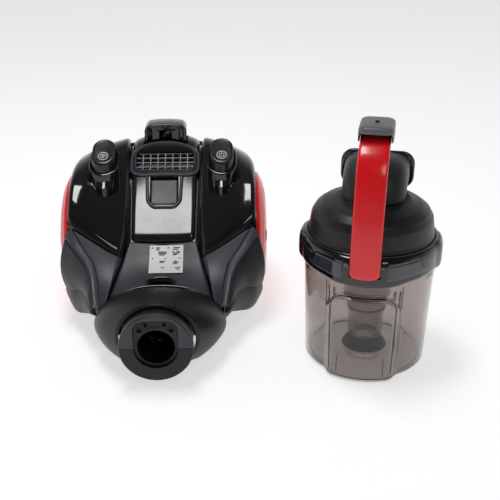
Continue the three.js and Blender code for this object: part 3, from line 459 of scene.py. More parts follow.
LOOKS = {
    "gloss_black": plastic("gloss_black", (0.0065, 0.0065, 0.008), 0.085, 0.035, 500, 0.000006,
                           scratch=0.12, wear=0.1, Coat_Weight=0.35, Coat_Roughness=0.04),
    "console_black": plastic("console_black", (0.007, 0.007, 0.0085), 0.2, 0.04, 500, 0.000006,
                             scratch=0.08, wear=0.1, Coat_Weight=0.3, Coat_Roughness=0.1),
    "satin_black": plastic("satin_black", (0.0065, 0.0065, 0.0078), 0.4, 0.06, 1100, 0.00004, wear=0.3,
                           Specular_IOR_Level=0.32),
    "matte_grey": plastic("matte_grey", (0.03, 0.032, 0.042), 0.44, 0.06, 1100, 0.00005, wear=0.3),
    "fender_grey": plastic("fender_grey", (0.018, 0.0185, 0.022), 0.46, 0.06, 1100, 0.00005, wear=0.3),
    # A lighter copy of matte_grey: painted highlight on the bevels between the wings and the fenders.
    "bevel_painted_highlight_grey": plastic("bevel_painted_highlight_grey", (0.055, 0.058, 0.074), 0.4, 0.06, 1100, 0.00004, wear=0.2),
    "dome_black": plastic("dome_black", (0.01, 0.01, 0.0112), 0.4, 0.05, 1300, 0.00006, wear=0.2,
                          Specular_IOR_Level=0.4),
    "red": plastic("red", (0.78, 0.008, 0.012), 0.24, 0.05, 500, 0.000008, scratch=0.03, wear=0.05,
                   tint=0.06, Coat_Weight=0.25, Coat_Roughness=0.08),
    "tyre": rubber("tyre", (0.02, 0.02, 0.021), 0.62),
    "smoke": clear_plastic("smoke", (0.53, 0.485, 0.465), 0.03),
    "smoke_inner": clear_plastic("smoke_inner", (0.6, 0.57, 0.57), 0.08),
    "label": plastic("label", (0.8, 0.8, 0.79), 0.45, 0.05, 700, 0.00002, wear=0, tint=0.03),
    "print": plastic("print", (0.06, 0.06, 0.065), 0.5, 0.05, 700, 0.00001, wear=0, tint=0.3),
    "duct_grey": plastic("duct_grey", (0.024, 0.024, 0.026), 0.44, 0.05, 1300, 0.00006, wear=0.2,
                         Specular_IOR_Level=0.4),
    "facet": plastic("facet", (0.03, 0.032, 0.042), 0.07, 0.03, 500, 0.000006, scratch=0.12, wear=0.1,
                     Coat_Weight=0.6, Coat_Roughness=0.03),
    "pedal_black": plastic("pedal_black", (0.008, 0.008, 0.009), 0.3, 0.06, 700, 0.00003, wear=0.2),
    "icon": plastic("icon", (0.72, 0.74, 0.76), 0.4, 0.05, 700, 0.00001, wear=0, tint=0.05),
    # The pale grey of the release cap; on the air grille's bars it is a painted highlight.
    "cap_grey": plastic("cap_grey", (0.12, 0.123, 0.13), 0.4, 0.06, 1000, 0.00004, wear=0.3),
    "steel": metal("steel", (0.6, 0.6, 0.61), 0.34),
    "foam": fibre("foam", (0.27, 0.28, 0.3), 900, 0.0005),
    "filter": fibre("filter", (0.78, 0.78, 0.74), 2500, 0.0001),
    "board": plastic("board", (0.012, 0.1, 0.04), 0.35, 0.08, 700, 0.00003, wear=0),
}


# ---------------------------------------------------------------- the body's upper surface
FIELD_X, FIELD_Y0, FIELD_DY = 25, -120, 35
HEIGHTS = [
    [72, 71, 66, 52, 35, 20],
    [76, 76, 76, 70, 60, 50],
    [81, 82, 88, 96, 100, 98],
    [101, 103, 112, 125, 134, 138],
    [127, 129, 137, 150, 165, 168],
    [153, 154, 158, 168, 177, 172],
    [178, 177, 177, 181, 183, 170],
    [197, 196, 191, 187, 180, 160],
    [196, 193, 187, 179, 163, 140],
    [172, 169, 158, 144, 124, 100],
]


def height_at(row, column):
    j = min(abs(column), 5)
    if row < 0:
        return HEIGHTS[0][j] - row * (HEIGHTS[0][j] - HEIGHTS[1][j])
    if row > 9:
        return HEIGHTS[9][j] + (row - 9) * (HEIGHTS[9][j] - HEIGHTS[8][j])
    return HEIGHTS[row][j]


def spline_weights(t):
    return ((1 - t) ** 3 / 6, (3 * t ** 3 - 6 * t * t + 4) / 6,
            (-3 * t ** 3 + 3 * t * t + 3 * t + 1) / 6, t ** 3 / 6)


def top(x, y):
    a, b = abs(x) / FIELD_X, (y - FIELD_Y0) / FIELD_DY
    i, j = math.floor(b), math.floor(a)
    across, along = spline_weights(a - j), spline_weights(b - i)
    return sum(along[q] * across[p] * height_at(i - 1 + q, j - 1 + p) for q in range(4) for p in range(4))


CONSOLE_NEAR, CONSOLE_FAR = (-12, 40.5), (171, 47)
CONSOLE_SINK, CONSOLE_CROWN, GROOVE = -4, 6, 4
SKIN = 4


def console_half(y):
    (y0, x0), (y1, x1) = CONSOLE_NEAR, CONSOLE_FAR
    return x0 + (y - y0) / (y1 - y0) * (x1 - x0)


def console_top(x, y):
    return top(x, y) + CONSOLE_SINK + CONSOLE_CROWN * (1 - (x / console_half(y)) ** 2)


PANEL_Y = (-93.5, -15.5)
PANEL_SINK, PANEL_CROWN = -3.5, 4.5


def panel_half(y):
    return 62 - 19.5 * (y - PANEL_Y[0]) / (PANEL_Y[1] - PANEL_Y[0])


def panel_top(x, y):
    return top(x, y) + PANEL_SINK + PANEL_CROWN * (1 - (x / panel_half(y)) ** 2)


class Curve:
    """A centripetal Catmull-Rom curve through points."""

    def __init__(self, points):
        self.points = [Vector((*p, 0)[:3]) for p in points]
        samples = [self.at(i / 200) for i in range(201)]
        self.lengths = [0.0]
        for a, b in zip(samples, samples[1:]):
            self.lengths.append(self.lengths[-1] + (b - a).length)

    def at(self, t):
        p = self.points
        last = len(p) - 1
        i = min(int(last * t), last - 1)
        w = last * t - i
        before = p[i - 1] if i else 2 * p[0] - p[1]
        after = p[i + 2] if i + 2 <= last else 2 * p[last] - p[last - 1]
        quad = (before, p[i], p[i + 1], after)
        d0, d1, d2 = (max(1e-4, (b - a).length) ** 0.5 for a, b in zip(quad, quad[1:]))
        t1 = ((p[i] - before) / d0 - (p[i + 1] - before) / (d0 + d1) + (p[i + 1] - p[i]) / d1) * d1
        t2 = ((p[i + 1] - p[i]) / d1 - (after - p[i]) / (d1 + d2) + (after - p[i + 1]) / d2) * d1
        c2 = -3 * p[i] + 3 * p[i + 1] - 2 * t1 - t2
        c3 = 2 * p[i] - 2 * p[i + 1] + t1 + t2
        return p[i] + w * t1 + w * w * c2 + w ** 3 * c3

    def even(self, u):
        """The point at a share of the curve's length."""
        target, last = u * self.lengths[-1], len(self.lengths) - 1
        low = min(bisect_right(self.lengths, target), last) - 1
        span = self.lengths[low + 1] - self.lengths[low]
        return self.at((low + (target - self.lengths[low]) / span) / last)


def plan_patch(near, far, left, right):
    """A patch in plan between four sides, each a list of points that a curve runs through."""
    n, f, l, r = (Curve(side) for side in (near, far, left, right))
    memo = {}

    def side(curve, key, u):
        if (key, u) not in memo:
            memo[key, u] = curve.even(u)
        return memo[key, u]

    def plan(s, t):
        across = (1 - t) * side(n, 0, s) + t * side(f, 1, s)
        along = (1 - s) * side(l, 2, t) + s * side(r, 3, t)
        flat = (1 - s) * (1 - t) * n.at(0) + s * (1 - t) * n.at(1) + (1 - s) * t * f.at(0) + s * t * f.at(1)
        point = across + along - flat
        return point.x, point.y

    return plan


def edge_drop(dx, dy, r):
    out = min(r, math.hypot(max(0, r - dx), max(0, r - dy)))
    return r - math.sqrt(r * r - out * out)


def rim_drop(s, t, size, r):
    """How far a rounded edge falls at (s, t), each from 0 to 1, on a cover of a size."""
    return edge_drop(min(s, 1 - s) * size[0], min(t, 1 - t) * size[1], r)


def edge_stops(count, span, edge, steps=6):
    """Places from 0 to 1, close together along the rounded edges."""
    rim = [edge / span * (1 - math.cos(math.pi / 2 * k / steps)) for k in range(steps)]
    inside = [edge / span + q * (1 - 2 * edge / span) for q in steps_to(count)]
    return rim + inside + [1 - v for v in rim[::-1]]


def strip(half, near, far):
    """A plan for a cover between two y places, half(y) wide to each side."""
    def plan(s, t):
        y = near + t * (far - near)
        return (2 * s - 1) * half(y), y

    return plan


def cover(name, plan, size, surface=top, rise=0, edge=6, thick=SKIN, n=40, m=60):
    """A cover that lies on a surface, with rounded edges and an open underside."""
    def pair(s, t):
        x, y = plan(s, t)
        z = surface(x, y) + rise - rim_drop(s, t, size, edge)
        return (x, y, z), (x, y, z - thick)

    return sheet(name, edge_stops(n, size[0], edge), edge_stops(m, size[1], edge), pair)


def sweep(name, path, section, wrap=False, place=BODY):
    """A section of (sideways, up) points along a path of (point, sideways, up)."""
    rings = []
    for at, side, up in path:
        rings.append([tuple(Vector(at) + Vector(side) * a + Vector(up) * b) for a, b in section])
    return loft(name, rings, place, closed=wrap)


def along_surface(line, surface, rise=0.0):
    """A path on a surface through plan points, for sweep."""
    path = []
    for i, (x, y) in enumerate(line):
        (x0, y0), (x1, y1) = line[max(0, i - 1)], line[min(len(line) - 1, i + 1)]
        ahead = Vector((x1 - x0, y1 - y0, surface(x1, y1) - surface(x0, y0))).normalized()
        slope_x = surface(x + 0.5, y) - surface(x - 0.5, y)
        slope_y = surface(x, y + 0.5) - surface(x, y - 0.5)
        up = Vector((-slope_x, -slope_y, 1)).normalized()
        side = ahead.cross(up).normalized()
        path.append(((x, y, surface(x, y) + rise), side, up))
    return path


def bead(width, height, steps=8):
    """The section of a low rounded bead."""
    arc = [(width / 2 * math.cos(math.pi * k / steps), height * math.sin(math.pi * k / steps))
           for k in range(steps + 1)]
    return arc + [(-width / 2, -1.2), (width / 2, -1.2)]


# ---------------------------------------------------------------- camera, lights and floor
def place_camera():
    data = bpy.data.cameras.new("camera")
    data.sensor_width = 36
    data.lens = 61.35
    camera = placed("camera", data)
    target = BODY_AT + Vector((0.117, 0.177, 0))
    azimuth, elevation, distance = math.radians(-2.0), math.radians(25), 1.3
    back = Vector((math.sin(azimuth) * math.cos(elevation), -math.cos(azimuth) * math.cos(elevation),
                   math.sin(elevation)))
    camera.location = target + back * distance
    camera.rotation_euler = back.to_track_quat("Z", "Y").to_euler()
    bpy.context.scene.camera = camera


def area_light(name, at, aim, size, power, reflected=True):
    data = bpy.data.lights.new(name, "AREA")
    data.shape = "RECTANGLE"
    data.size, data.size_y = size
    data.energy = power
    light = placed(name, data)
    light.location = at
    light.visible_glossy = reflected
    light.rotation_euler = (Vector(at) - Vector(aim)).to_track_quat("Z", "Y").to_euler()


def set_lights():
    world = bpy.data.worlds.new("studio")
    bpy.context.scene.world = world
    world.use_nodes = True
    background = world.node_tree.nodes["Background"]
    background.inputs["Color"].default_value = (1, 1, 1, 1)
    looking = node(world, "TexCoord").outputs["Generated"]
    direction = node(world, "SeparateXYZ", Vector=looking)
    sky = ramp(world, direction.outputs["Z"], 0.0, 0.7, 1.0, 0.12)
    front = ramp(world, direction.outputs["Y"], -0.8, 0.3, 0.25, 1.0)
    feed(world, background.inputs["Strength"], maths(world, "MULTIPLY", sky, front))
    area_light("ceiling_window", (-0.2, 0.05, 1.6), (-0.19, 0.12, 0.1), (0.42, 0.62), 9.5)
    area_light("left_window", (-2.2, -0.3, 1.5), (0, 0, 0.1), (2.6, 2.0), 5, reflected=False)
    area_light("right_window", (2.3, 0.3, 1.6), (0, 0, 0.1), (2.2, 1.8), 5, reflected=False)
    area_light("front_window", (0.5, -1.5, 1.9), (0.1, -0.1, 0.15), (0.8, 0.6), 5)
    bpy.context.scene.view_settings.view_transform = "Standard"


def lay_floor():
    size = 6.0
    corners = [(-size, -size), (size, -size), (size, size), (-size, size)]
    mesh = bpy.data.meshes.new("floor")
    mesh.from_pydata([(x, y, -0.0002) for x, y in corners], [], [(0, 1, 2, 3)])
    obj = bpy.data.objects.new("floor", mesh)
    bpy.context.collection.objects.link(obj)
    mesh.materials.append(plastic("floor_paper", (0.66, 0.66, 0.66), 0.7, 0.05, 300, 0.00002, wear=0,
                                  tint=0.01, Emission_Color=(1, 1, 1, 1), Emission_Strength=0.6))


# ---------------------------------------------------------------- body: covers
WELL_RADIUS = 87  # of the wheel arch cut through wings, fenders and bumpers
CREASE = [(112, -23), (98, -40), (84, -54), (78, -70), (75, -88), (74, -104)]
WING_BACK = [(50, -41.5), (66, -38.5), (86, -32.5), (103, -26.5), (112, -23)]


def wheel_well(radius, inside):
    return lathe("well", band(0, radius, inside, 150), "x", (0, *WHEEL), 0, 96, BODY)


def make_shoulders():
    back = 170
    edge_x = console_half(back) + GROOVE
    plan = plan_patch(
        [(50, -39), (66, -36), (86, -30), (103, -24), (118, -17)],
        [(edge_x, back), (75, back - 4), (96, back - 12), (107, back - 20)],
        [(50, -39), (console_half(0) + GROOVE, 0), (edge_x, back)],
        [(118, -17), (119, 30), (118.5, 90), (107, back - 20)],
    )
    made = cover("right_shoulder", plan, (66, 190), rise=3, edge=7, n=34, m=70)
    cut(made, wheel_well(86, 99.5), stadium_tool(31.4, 45.4, 120, 240))
    both(made, "gloss_black", "shoulder_cover")


def make_console():
    near = CONSOLE_NEAR[0]
    plan = strip(console_half, near, CONSOLE_FAR[0])
    made = cover("console", plan, (84, 188), console_top, n=50, m=90)
    cut(made, tile("window", 81, 41, 80, 2, (0, 90, 180), edge=0),
        tile("pocket", 38, 40, 80, 7, (0, 48, 150), edge=0), block(-30, 30, 117, 151, 150, 230))
    done(made, "console_black", "body", "console_cover", slot="gloss_black")
    for side in (-1, 1):
        line = [(side * (console_half(y) + 2), y) for y in [near - 14 + 9 * k for k in range(21)]]
        path = along_surface(line, top, -11)
        gutter = sweep(f"gutter_{'left' if side < 0 else 'right'}", path,
                       [(-5, 0), (-4, 1.5), (-3, 0.2), (3, 0.2), (4, 1.5), (5, 0), (4, -1.5), (-4, -1.5)])
        done(gutter, "gloss_black", "body")


def super_loop(centre, half, a, power=0.45):
    c, s = math.cos(a), math.sin(a)
    return (centre[0] + half[0] * math.copysign(abs(c) ** power, c),
            centre[1] + half[1] * math.copysign(abs(s) ** power, s))


GRILLE_AT = (0, 90)


def make_grille_frame():
    """A raised frame of two steps around the air grille, with a deep inner wall."""
    outer, inner = (46.5, 25.5), (38.5, 19.5)
    profile = [(0, 0.8), (0.0, 1.6), (0.05, 2.1), (0.12, 2.3), (0.2, 2.0), (0.26, 1.5), (0.34, 1.5),
               (0.66, 2.4), (0.72, 3.2), (0.8, 4.0), (0.88, 4.3), (0.95, 4.0), (1.0, 3.2), (1.0, 1.5)]

    def pair(a, step):
        q, rise = step
        at_lip = q >= 0.99
        half = [outer[i] + q * (inner[i] - outer[i]) for i in (0, 1)]
        x, y = super_loop(GRILLE_AT, half, a)
        grow = [h + 1.6 if at_lip else h - 0.4 - 2.2 * (1 - q) for h in half]
        x2, y2 = super_loop(GRILLE_AT, grow, a)
        under = min(rise, 0.5) if at_lip else 0.5
        return (x, y, console_top(x, y) + rise), (x2, y2, console_top(x2, y2) + under)

    made = sheet("grille_surround", turns(144), profile, pair, wrap=True)
    done(made, "matte_grey", "body", "grille_frame", sharp=50)
    well = [[], []]
    for a in turns(144):
        for grid, grow in zip(well, (0.1, 1.9)):
            x, y = super_loop(GRILLE_AT, [h + grow for h in inner], a)
            x2, y2 = super_loop((0, 90.8), [h + grow for h in inner], a)
            grid.append([(x, y, console_top(x, y) + 1.6), (x, y, console_top(x, y) - 4),
                         (x2, y2, console_top(x2, y2) - 14)])
    done(skin("grille_well", *well, wrap=True), "satin_black", "body")


def make_pocket():
    corners = [(-23, 65), (-21.2, 33), (-14, 25.2), (14, 25.2), (21.2, 33), (23, 65)]
    line = fillet(corners, 9, 8)
    dense = []
    for a, b in zip(line, line[1:]):
        pieces = max(1, int((Vector(b) - Vector(a)).length / 3))
        dense += [tuple(Vector(a).lerp(Vector(b), k / pieces)) for k in range(pieces)]
    path = along_surface(dense + [line[-1]], console_top, 0.2)
    done(sweep("pocket_rim", path, bead(4.6, 2.0)), "matte_grey", "body")
    plan = strip(lambda y: 18.2, 29.5, 63.5)
    plate = cover("pocket_lid", plan, (36, 34), rise=-0.4, edge=3, thick=4.5, n=20, m=20)
    done(plate, "matte_grey", "body", "pocket_plate", slot="satin_black")


def lattice(name, width, length, columns, rows, bar, depth, turn):
    """A plate with a grid of square holes, every wall shared with its neighbours."""
    def lines(span, count):
        out = []
        for i in range(count):
            pitch = span / count
            out += [-span / 2 + i * pitch + (bar / 2 if i else 0.0), -span / 2 + (i + 1) * pitch - bar / 2]
        out[0], out[-1] = -span / 2 + bar / 2, span / 2 - bar / 2
        return [-span / 2] + out + [span / 2]

    xs, ys = lines(width, columns), lines(length, rows)
    nx, ny = len(xs), len(ys)
    verts = [(x, y, z) for z in (0, depth) for x in xs for y in ys]

    def at(k, i, j):
        return (k * nx + i) * ny + j

    def filled(i, j):
        return 0 <= i < nx - 1 and 0 <= j < ny - 1 and not (i % 2 and j % 2)

    faces = []
    for i in range(nx - 1):
        for j in range(ny - 1):
            if not filled(i, j):
                continue
            corners = [(i, j), (i + 1, j), (i + 1, j + 1), (i, j + 1)]
            for k in (0, 1):
                faces.append([at(k, *c) for c in corners])
            around = [(i, j - 1), (i + 1, j), (i, j + 1), (i - 1, j)]
            for q, beyond in enumerate(around):
                if not filled(*beyond):
                    a, b = corners[q], corners[(q + 1) % 4]
                    faces.append([at(0, *a), at(0, *b), at(1, *b), at(1, *a)])
    return soften(build(name, verts, faces, BODY @ turn), 0.35, 2)


GRILLE_TILT = math.atan2(23, 35)


def make_grille():
    turn = Matrix.Translation((0, 91.5, top(0, 89) - 10)) @ Matrix.Rotation(GRILLE_TILT, 4, "X")
    # Painted highlight: the grille's bars are satin black, but they take the pale grey of the release cap to
    # paint the light that falls on them.
    made = lattice("air_grille", 79.6, 37.8, 8, 5, 1.7, 3.9, turn)
    done(made, "cap_grey", "body", "vent_grille", slot="satin_black")
    foam = tile("motor_filter", 74, 38, 9, 4, (0, 95.5, top(0, 89) - 23.5), GRILLE_TILT, 1.5)
    done(foam, "foam", "body", "premotor_filter")


def xz_prism(name, outline, y_front, y_back, edge=0.8):
    """An outline in XZ, anticlockwise from the front, extruded from y_front back to y_back."""
    return prism(name, outline, -y_back, -y_front, edge, FROM_XZ)


SLOT_X, SLOT_Z = 21.3, 200.5  # the two upright slots in the catch's front


def make_catch():
    arch = []
    for k in range(13):
        a = math.pi / 2 * k / 12
        arch.append((19.5 + 9 * math.cos(a), 205.5 + 9.3 * math.sin(a)))
    right = [(28.5, 172), *arch, (9, 216.0)]
    outline = right + [(-x, z) for x, z in right[::-1]]
    made = xz_prism("catch_block", outline, 119.2, 149, 1.6)
    # The window stops 5 mm short of the block's back, leaving a black wall there as painted shade inside the
    # window.
    window = xz_prism("window", round_rect(17, 17, 2, 5, (0, 199)), 100, 144, 0)
    notch = xz_prism("notch", [(-3.6, 215), (-2.2, 210.5), (2.2, 210.5), (3.6, 215)], 115, 121.4, 0)
    slots = [xz_prism("slot", round_rect(5.6, 21, 1.6, 5, (x, SLOT_Z)), 110, 130, 0)
             for x in (-SLOT_X, SLOT_X)]
    cut(made, window, notch, *slots)
    soften(made, 0.5, 2, 50)
    done(made, "gloss_black", "body", "handle_catch")
    for side, x in (("left", -SLOT_X), ("right", SLOT_X)):
        loops = []
        for y, grow in ((119.9, 0.7), (118.9, 0.7), (118.6, 0.2), (118.9, -0.4), (121, -0.4)):
            ring = round_rect(5.6 + 2 * grow, 21 + 2 * grow, 1.6 + grow, 6, (x, SLOT_Z))
            loops.append([(px, y, z) for px, z in ring])
        outer = loops + [[(px, 120.6, z) for px, z in round_rect(5.8, 21.2, 1.6, 6, (x, SLOT_Z))]]
        done(loft(f"{side}_slot_rim", outer, closed=True), "satin_black", "body")


# ---------------------------------------------------------------- body: nose
def make_cradle_panel():
    made = cover("bin_cradle", strip(panel_half, *PANEL_Y), (104, 78), panel_top, edge=4, n=60, m=44)
    port = [(15.4 * math.cos(a), -80 + 8.4 * math.sin(a)) for a in turns(64)]
    cut(made, prism("port", port, 30, 120, 0))
    done(made, "matte_grey", "body", "cradle_panel")
    line = [(17.2 * math.cos(a), -80 + 10 * math.sin(a)) for a in turns(72)]
    path = along_surface([line[-1]] + line + [line[0]], panel_top, 0.1)[1:-1]
    done(sweep("port_seal", path, bead(3.4, 1.7), wrap=True), "gloss_black", "body")
    ledge = []
    for k in range(49):
        a = math.radians(-62 + 124 * k / 48)
        ledge.append((38 * math.sin(a), -95.5 + 6.5 * math.cos(a)))
    done(sweep("port_ledge", along_surface(ledge, panel_top, 0.1), bead(5, 3.2)), "gloss_black", "body")
    tab = [(x, -19.4) for x in [-7.5 + k for k in range(16)]]
    done(sweep("panel_tab", along_surface(tab, panel_top, 0.2), bead(2.2, 0.9)), "satin_black", "body")


def on_panel(name, x0, x1, y0, y1, rise, thick, radius=1.0, n=12):
    """A thin sheet lying on the cradle panel."""
    def pair(s, t):
        x, y = x0 + s * (x1 - x0), y0 + t * (y1 - y0)
        z = panel_top(x, y) + rise
        return (x, y, z), (x, y, z - thick)

    return sheet(name, edge_stops(n, x1 - x0, radius, 3), edge_stops(n, y1 - y0, radius, 3), pair)


def make_label():
    """A rating label with generic bars in place of its print."""
    done(on_panel("rating_sticker", -16, 26, -63, -22, 1.8, 0.6), "label", "body", "rating_label")
    bars = []
    rows = [(-26, ((-14, -11), (-8, -3), (6, 9), (13, 22))), (-28.3, ((-8, -4), (13, 20))),
            (-31.5, ((-5, 5), (12, 15), (17, 22))), (-33.4, ((-5, 5), (13, 21))),
            (-35.3, ((-4, 3), (13, 18))), (-40.5, ((-13, -11), (3, 5), (21, 23))),
            (-44.5, ((-3, 4), (15, 18))), (-46.2, ((-3, 2), (13, 21))), (-48.2, ((14, 19),)),
            (-54.5, ((-1, 3), (16, 23))), (-57.5, ((18, 22),))]
    for y, spans in rows:
        for x0, x1 in spans:
            bars.append(on_panel("bar", x0, x1, y, y + 1.3, 2.1, 0.4, 0.2, 3))
    done(merged("sticker_print", *bars), "print", "body", slot="label")


def make_wings():
    plan = plan_patch([(64.5, -103), (69, -104), (74, -104)], WING_BACK,
                      [(64.5, -103), (59, -75), (53.5, -55), (50, -41.5)], CREASE[::-1])
    made = cover("right_wing", plan, (34, 78), edge=2.6, n=26, m=44)
    cut(made, wheel_well(WELL_RADIUS, 99.5))
    both(made, "matte_grey", "wing_cover")


FENDER_UPPER = [(118, 128), (105, 116), (90.5, 100), (83.5, 86), (80.5, 74), (79.5, 63)]
FENDER_LOWER = [(127, 44), (117, 50), (104, 57), (95, 60), (88, 60), (83, 54)]
FENDER_Y = [-24, -41, -56, -71, -88, -103]
BEVEL_SHARE = 0.12  # of the fender's height, taken by the bevel, which is painted lighter than the wing as a highlight


def fender_line(t):
    """A line along the fender, t from its upper edge to its lower one."""
    points = []
    for i, y in enumerate(FENDER_Y):
        (ux, uz), (lx, lz) = FENDER_UPPER[i], FENDER_LOWER[i]
        uz -= 4
        x = ux + t * (lx - ux) + 4 * t * (1 - t) * (7 - i)
        z = uz + t * (lz - uz)
        arch_y = WHEEL[0] - math.sqrt(WELL_RADIUS ** 2 - (z - WHEEL[1]) ** 2)
        points.append((x, arch_y - 1 if i == 0 else y, z))
    return Curve(points)


def make_fenders():
    def pair(s, level):
        t, line = level
        p = line.at(s)
        drop = rim_drop(s, t, (95, 70), 3)
        return (p.x - 0.9 * drop, p.y + 0.4 * drop, p.z), (p.x - 3.4, p.y + 1.3, p.z)

    levels = [(t, fender_line(BEVEL_SHARE + (1 - BEVEL_SHARE) * t)) for t in edge_stops(22, 70, 3)]
    made = sheet("right_fender", edge_stops(50, 95, 3), levels, pair)
    cut(made, wheel_well(WELL_RADIUS, 90))
    both(made, "fender_grey", "fender_plate")


def make_bumpers():
    """The tub's front corners, black, below each fender and in front of the wheel."""
    upper = fender_line(0.93)
    lower = Curve([(124, -14, 20), (117, -38, 21), (109, -57, 26), (99, -74, 34), (90, -90, 42),
                   (82, -103, 47)])

    def pair(s, t):
        p = upper.at(s).lerp(lower.at(s), t)
        swell = 3.0 * math.sin(math.pi * t) - 2.0
        tuck = edge_drop(min(s, 1 - s) * 95, (1 - t) * 30, 2)
        return (p.x + swell - tuck, p.y + 0.3 * tuck, p.z), (p.x - 5.5, p.y + 1.5, p.z + 0.6 * t)

    made = sheet("right_bumper", edge_stops(40, 95, 2, 3), edge_stops(14, 30, 2, 3), pair)
    cut(made, wheel_well(WELL_RADIUS, 90))
    both(made, "satin_black")


def make_bands():
    """The bevel between each wing and its fender, painted lighter than the wing's matte grey as a highlight.
    """
    inner_line = Curve([(x, y, top(x, y) - 1.6) for x, y in CREASE])
    outer_line = fender_line(BEVEL_SHARE - 0.015)

    def pair(s, t):
        p = inner_line.at(s).lerp(outer_line.at(s), t)
        lift = 1.4 * math.sin(math.pi * t) + 0.5
        return ((p.x + 0.5 * lift, p.y - 0.3 * lift, p.z + 0.7 * lift),
                (p.x - 1.2, p.y + 0.6, p.z - 2.2))

    made = sheet("right_bevel", steps_to(60), steps_to(10), pair)
    both(made, "bevel_painted_highlight_grey", slot="matte_grey")
    line = [inner_line.at(s) for s in steps_to(60)]
    seam_path = []
    for i, p in enumerate(line):
        ahead = (line[min(60, i + 1)] - line[max(0, i - 1)]).normalized()
        side = ahead.cross(Vector((0.3, -0.2, 1))).normalized()
        seam_path.append((tuple(p + Vector((-0.3, 0.2, -0.1))), side, side.cross(ahead).normalized()))
    seam = sweep("right_seam", seam_path, [(-0.8, 0), (-0.4, 0.5), (0.4, 0.5), (0.8, 0), (0, -0.8)])
    both(seam, "gloss_black")


HOOD_SWEEP = math.radians(138)


def make_hood():
    def at(a, t, shrink):
        back = Vector(((79 - shrink) * math.sin(a), -97 - 15 * (1 - math.cos(a)),
                       41 + (40 - shrink) * math.cos(a)))
        front = Vector(((47 - shrink) * math.sin(a), -172 + 5 * (1 - math.cos(a)),
                        SOCKET[1] + (46 - shrink) * math.cos(a)))
        p = back.lerp(front, t)
        swell = 5 * math.sin(math.pi * t)
        return (p.x + swell * math.sin(a), p.y, max(p.z + swell * math.cos(a), 9))

    def pair(q, t):
        a = (2 * q - 1) * HOOD_SWEEP
        return at(a, t, rim_drop(q, t, (250, 78), 2.4) * 0.8), at(a, t, 3.5)

    made = sheet("socket_hood", edge_stops(110, 250, 2.4, 4), edge_stops(22, 78, 2.4, 5), pair)
    done(made, "satin_black", "body", "nose_hood")


def keyway(name, shrink, start, end, edge=0.0):
    """A prism of the socket opening's outline: round below, an arch with two corners above."""
    half, rise, corner = 25 - shrink, 35 - shrink, 12 - shrink
    outline = [(half * math.cos(a), half * math.sin(a)) for a in
               [math.pi + math.pi * k / 32 for k in range(33)]]
    for side in (1, -1):
        for k in range(13):
            a = math.pi / 2 * k / 12 if side > 0 else math.pi / 2 + math.pi / 2 * k / 12
            outline.append((side * (half - corner) + corner * math.cos(a),
                            rise - corner + corner * math.sin(a)))
    turn = Matrix.Translation((0, *SOCKET)) @ FROM_XZ
    return prism(name, outline, -end, -start, edge, turn)


def make_socket():
    at = (0, *SOCKET)

    def face(name, depth, web):
        profile = [(0, 0), (40.6, 0, 0.5), (42, 1.6, 1.5), (42, depth), (31, depth), (31, web), (0, web)]
        return cut(lathe(name, profile, "y", at, 0.3, 128, BODY), keyway("way", 0, -5, 20))

    barrel = tube("barrel", [(21, 4), (30.6, 4), (30.6, 7), (41, 7), (41, 30), (30, 38), (30, 52),
                              (24, 52), (24, 20), (21, 16)], "y", at, 0.8, 128, BODY)
    lip = cut(face("lip", 7.5, 4.4), block(-60, 60, -300, 0, SOCKET[1], 200))
    cut(barrel, lip, operation="UNION")
    done(soften(barrel, 0.4, 2, 45), "satin_black", "body", "socket_body")
    ring = cut(face("socket_arch", 6.6, 3.6), block(-60, 60, -300, 0, -100, SOCKET[1] + 0.5))
    done(soften(ring, 0.6, 2, 45), "matte_grey", "body", "socket_ring")
    plate = keyway("contact_shield", 0.5, 1.6, 3.5)
    tools = [block(-60, 60, -300, 0, 0, SOCKET[1] + 8),
             lathe("hole", band(0, 23.5, -5, 20), "y", at, 0, 96, BODY)]
    holes = [(17.5, 23, 2.4), (10.5, 29.5, 1.7)]
    spots = [(side * x, z, r) for x, z, r in holes for side in (-1, 1)]
    for x, z, r in spots:
        tools.append(lathe("pin", band(0, r, -2, 8), "y",
                           (x, SOCKET[0], SOCKET[1] + z), 0, 24, BODY))
    cut(plate, *tools)
    done(soften(plate, 0.35, 2, 45), "satin_black", "body", "contact_plate")
    rims = [tube("rim", [(r, 1.7), (r + 0.2, 1.0), (r + 1.0, 1.0), (r + 1.3, 1.7)], "y",
                  (x, SOCKET[0], SOCKET[1] + z), 0.2, 32, BODY) for x, z, r in spots]
    done(merged("contact_rims", *rims), "satin_black", "body")
    throat = tube("hose_throat", [(20.4, 16.6), (23.8, 20.4), (23.8, 24), (21.5, 26), (21.5, 30),
                                   (20.2, 31.5), (20.2, 51.5), (19, 51.5), (19, 30.5), (20, 26), (20, 20)],
                   "y", at, 0.5, 96, BODY)
    done(throat, "satin_black", "body")


# ---------------------------------------------------------------- body: pedals
PEDAL_SLOPE = 0.45
SHROUD_TOP, PEDAL_TOP = 189, 201  # heights at the pedal's middle
PRINT = (200.86, 200.4)  # upper and lower face of the printed icons


def stadium(width, length, centre=PEDAL, steps=24):
    r = width / 2
    out = []
    for end, start in ((1, 0), (-1, math.pi)):
        for k in range(steps + 1):
            a = start + math.pi * k / steps
            out.append((centre[0] + r * math.cos(a),
                        centre[1] + end * (length / 2) - end * r + r * math.sin(a)))
    return out


def stadium_tool(width, length, low, high):
    return prism("stadium", stadium(width, length), low, high, 0)


def sloped(z, y):
    return z + PEDAL_SLOPE * (y - PEDAL[1])


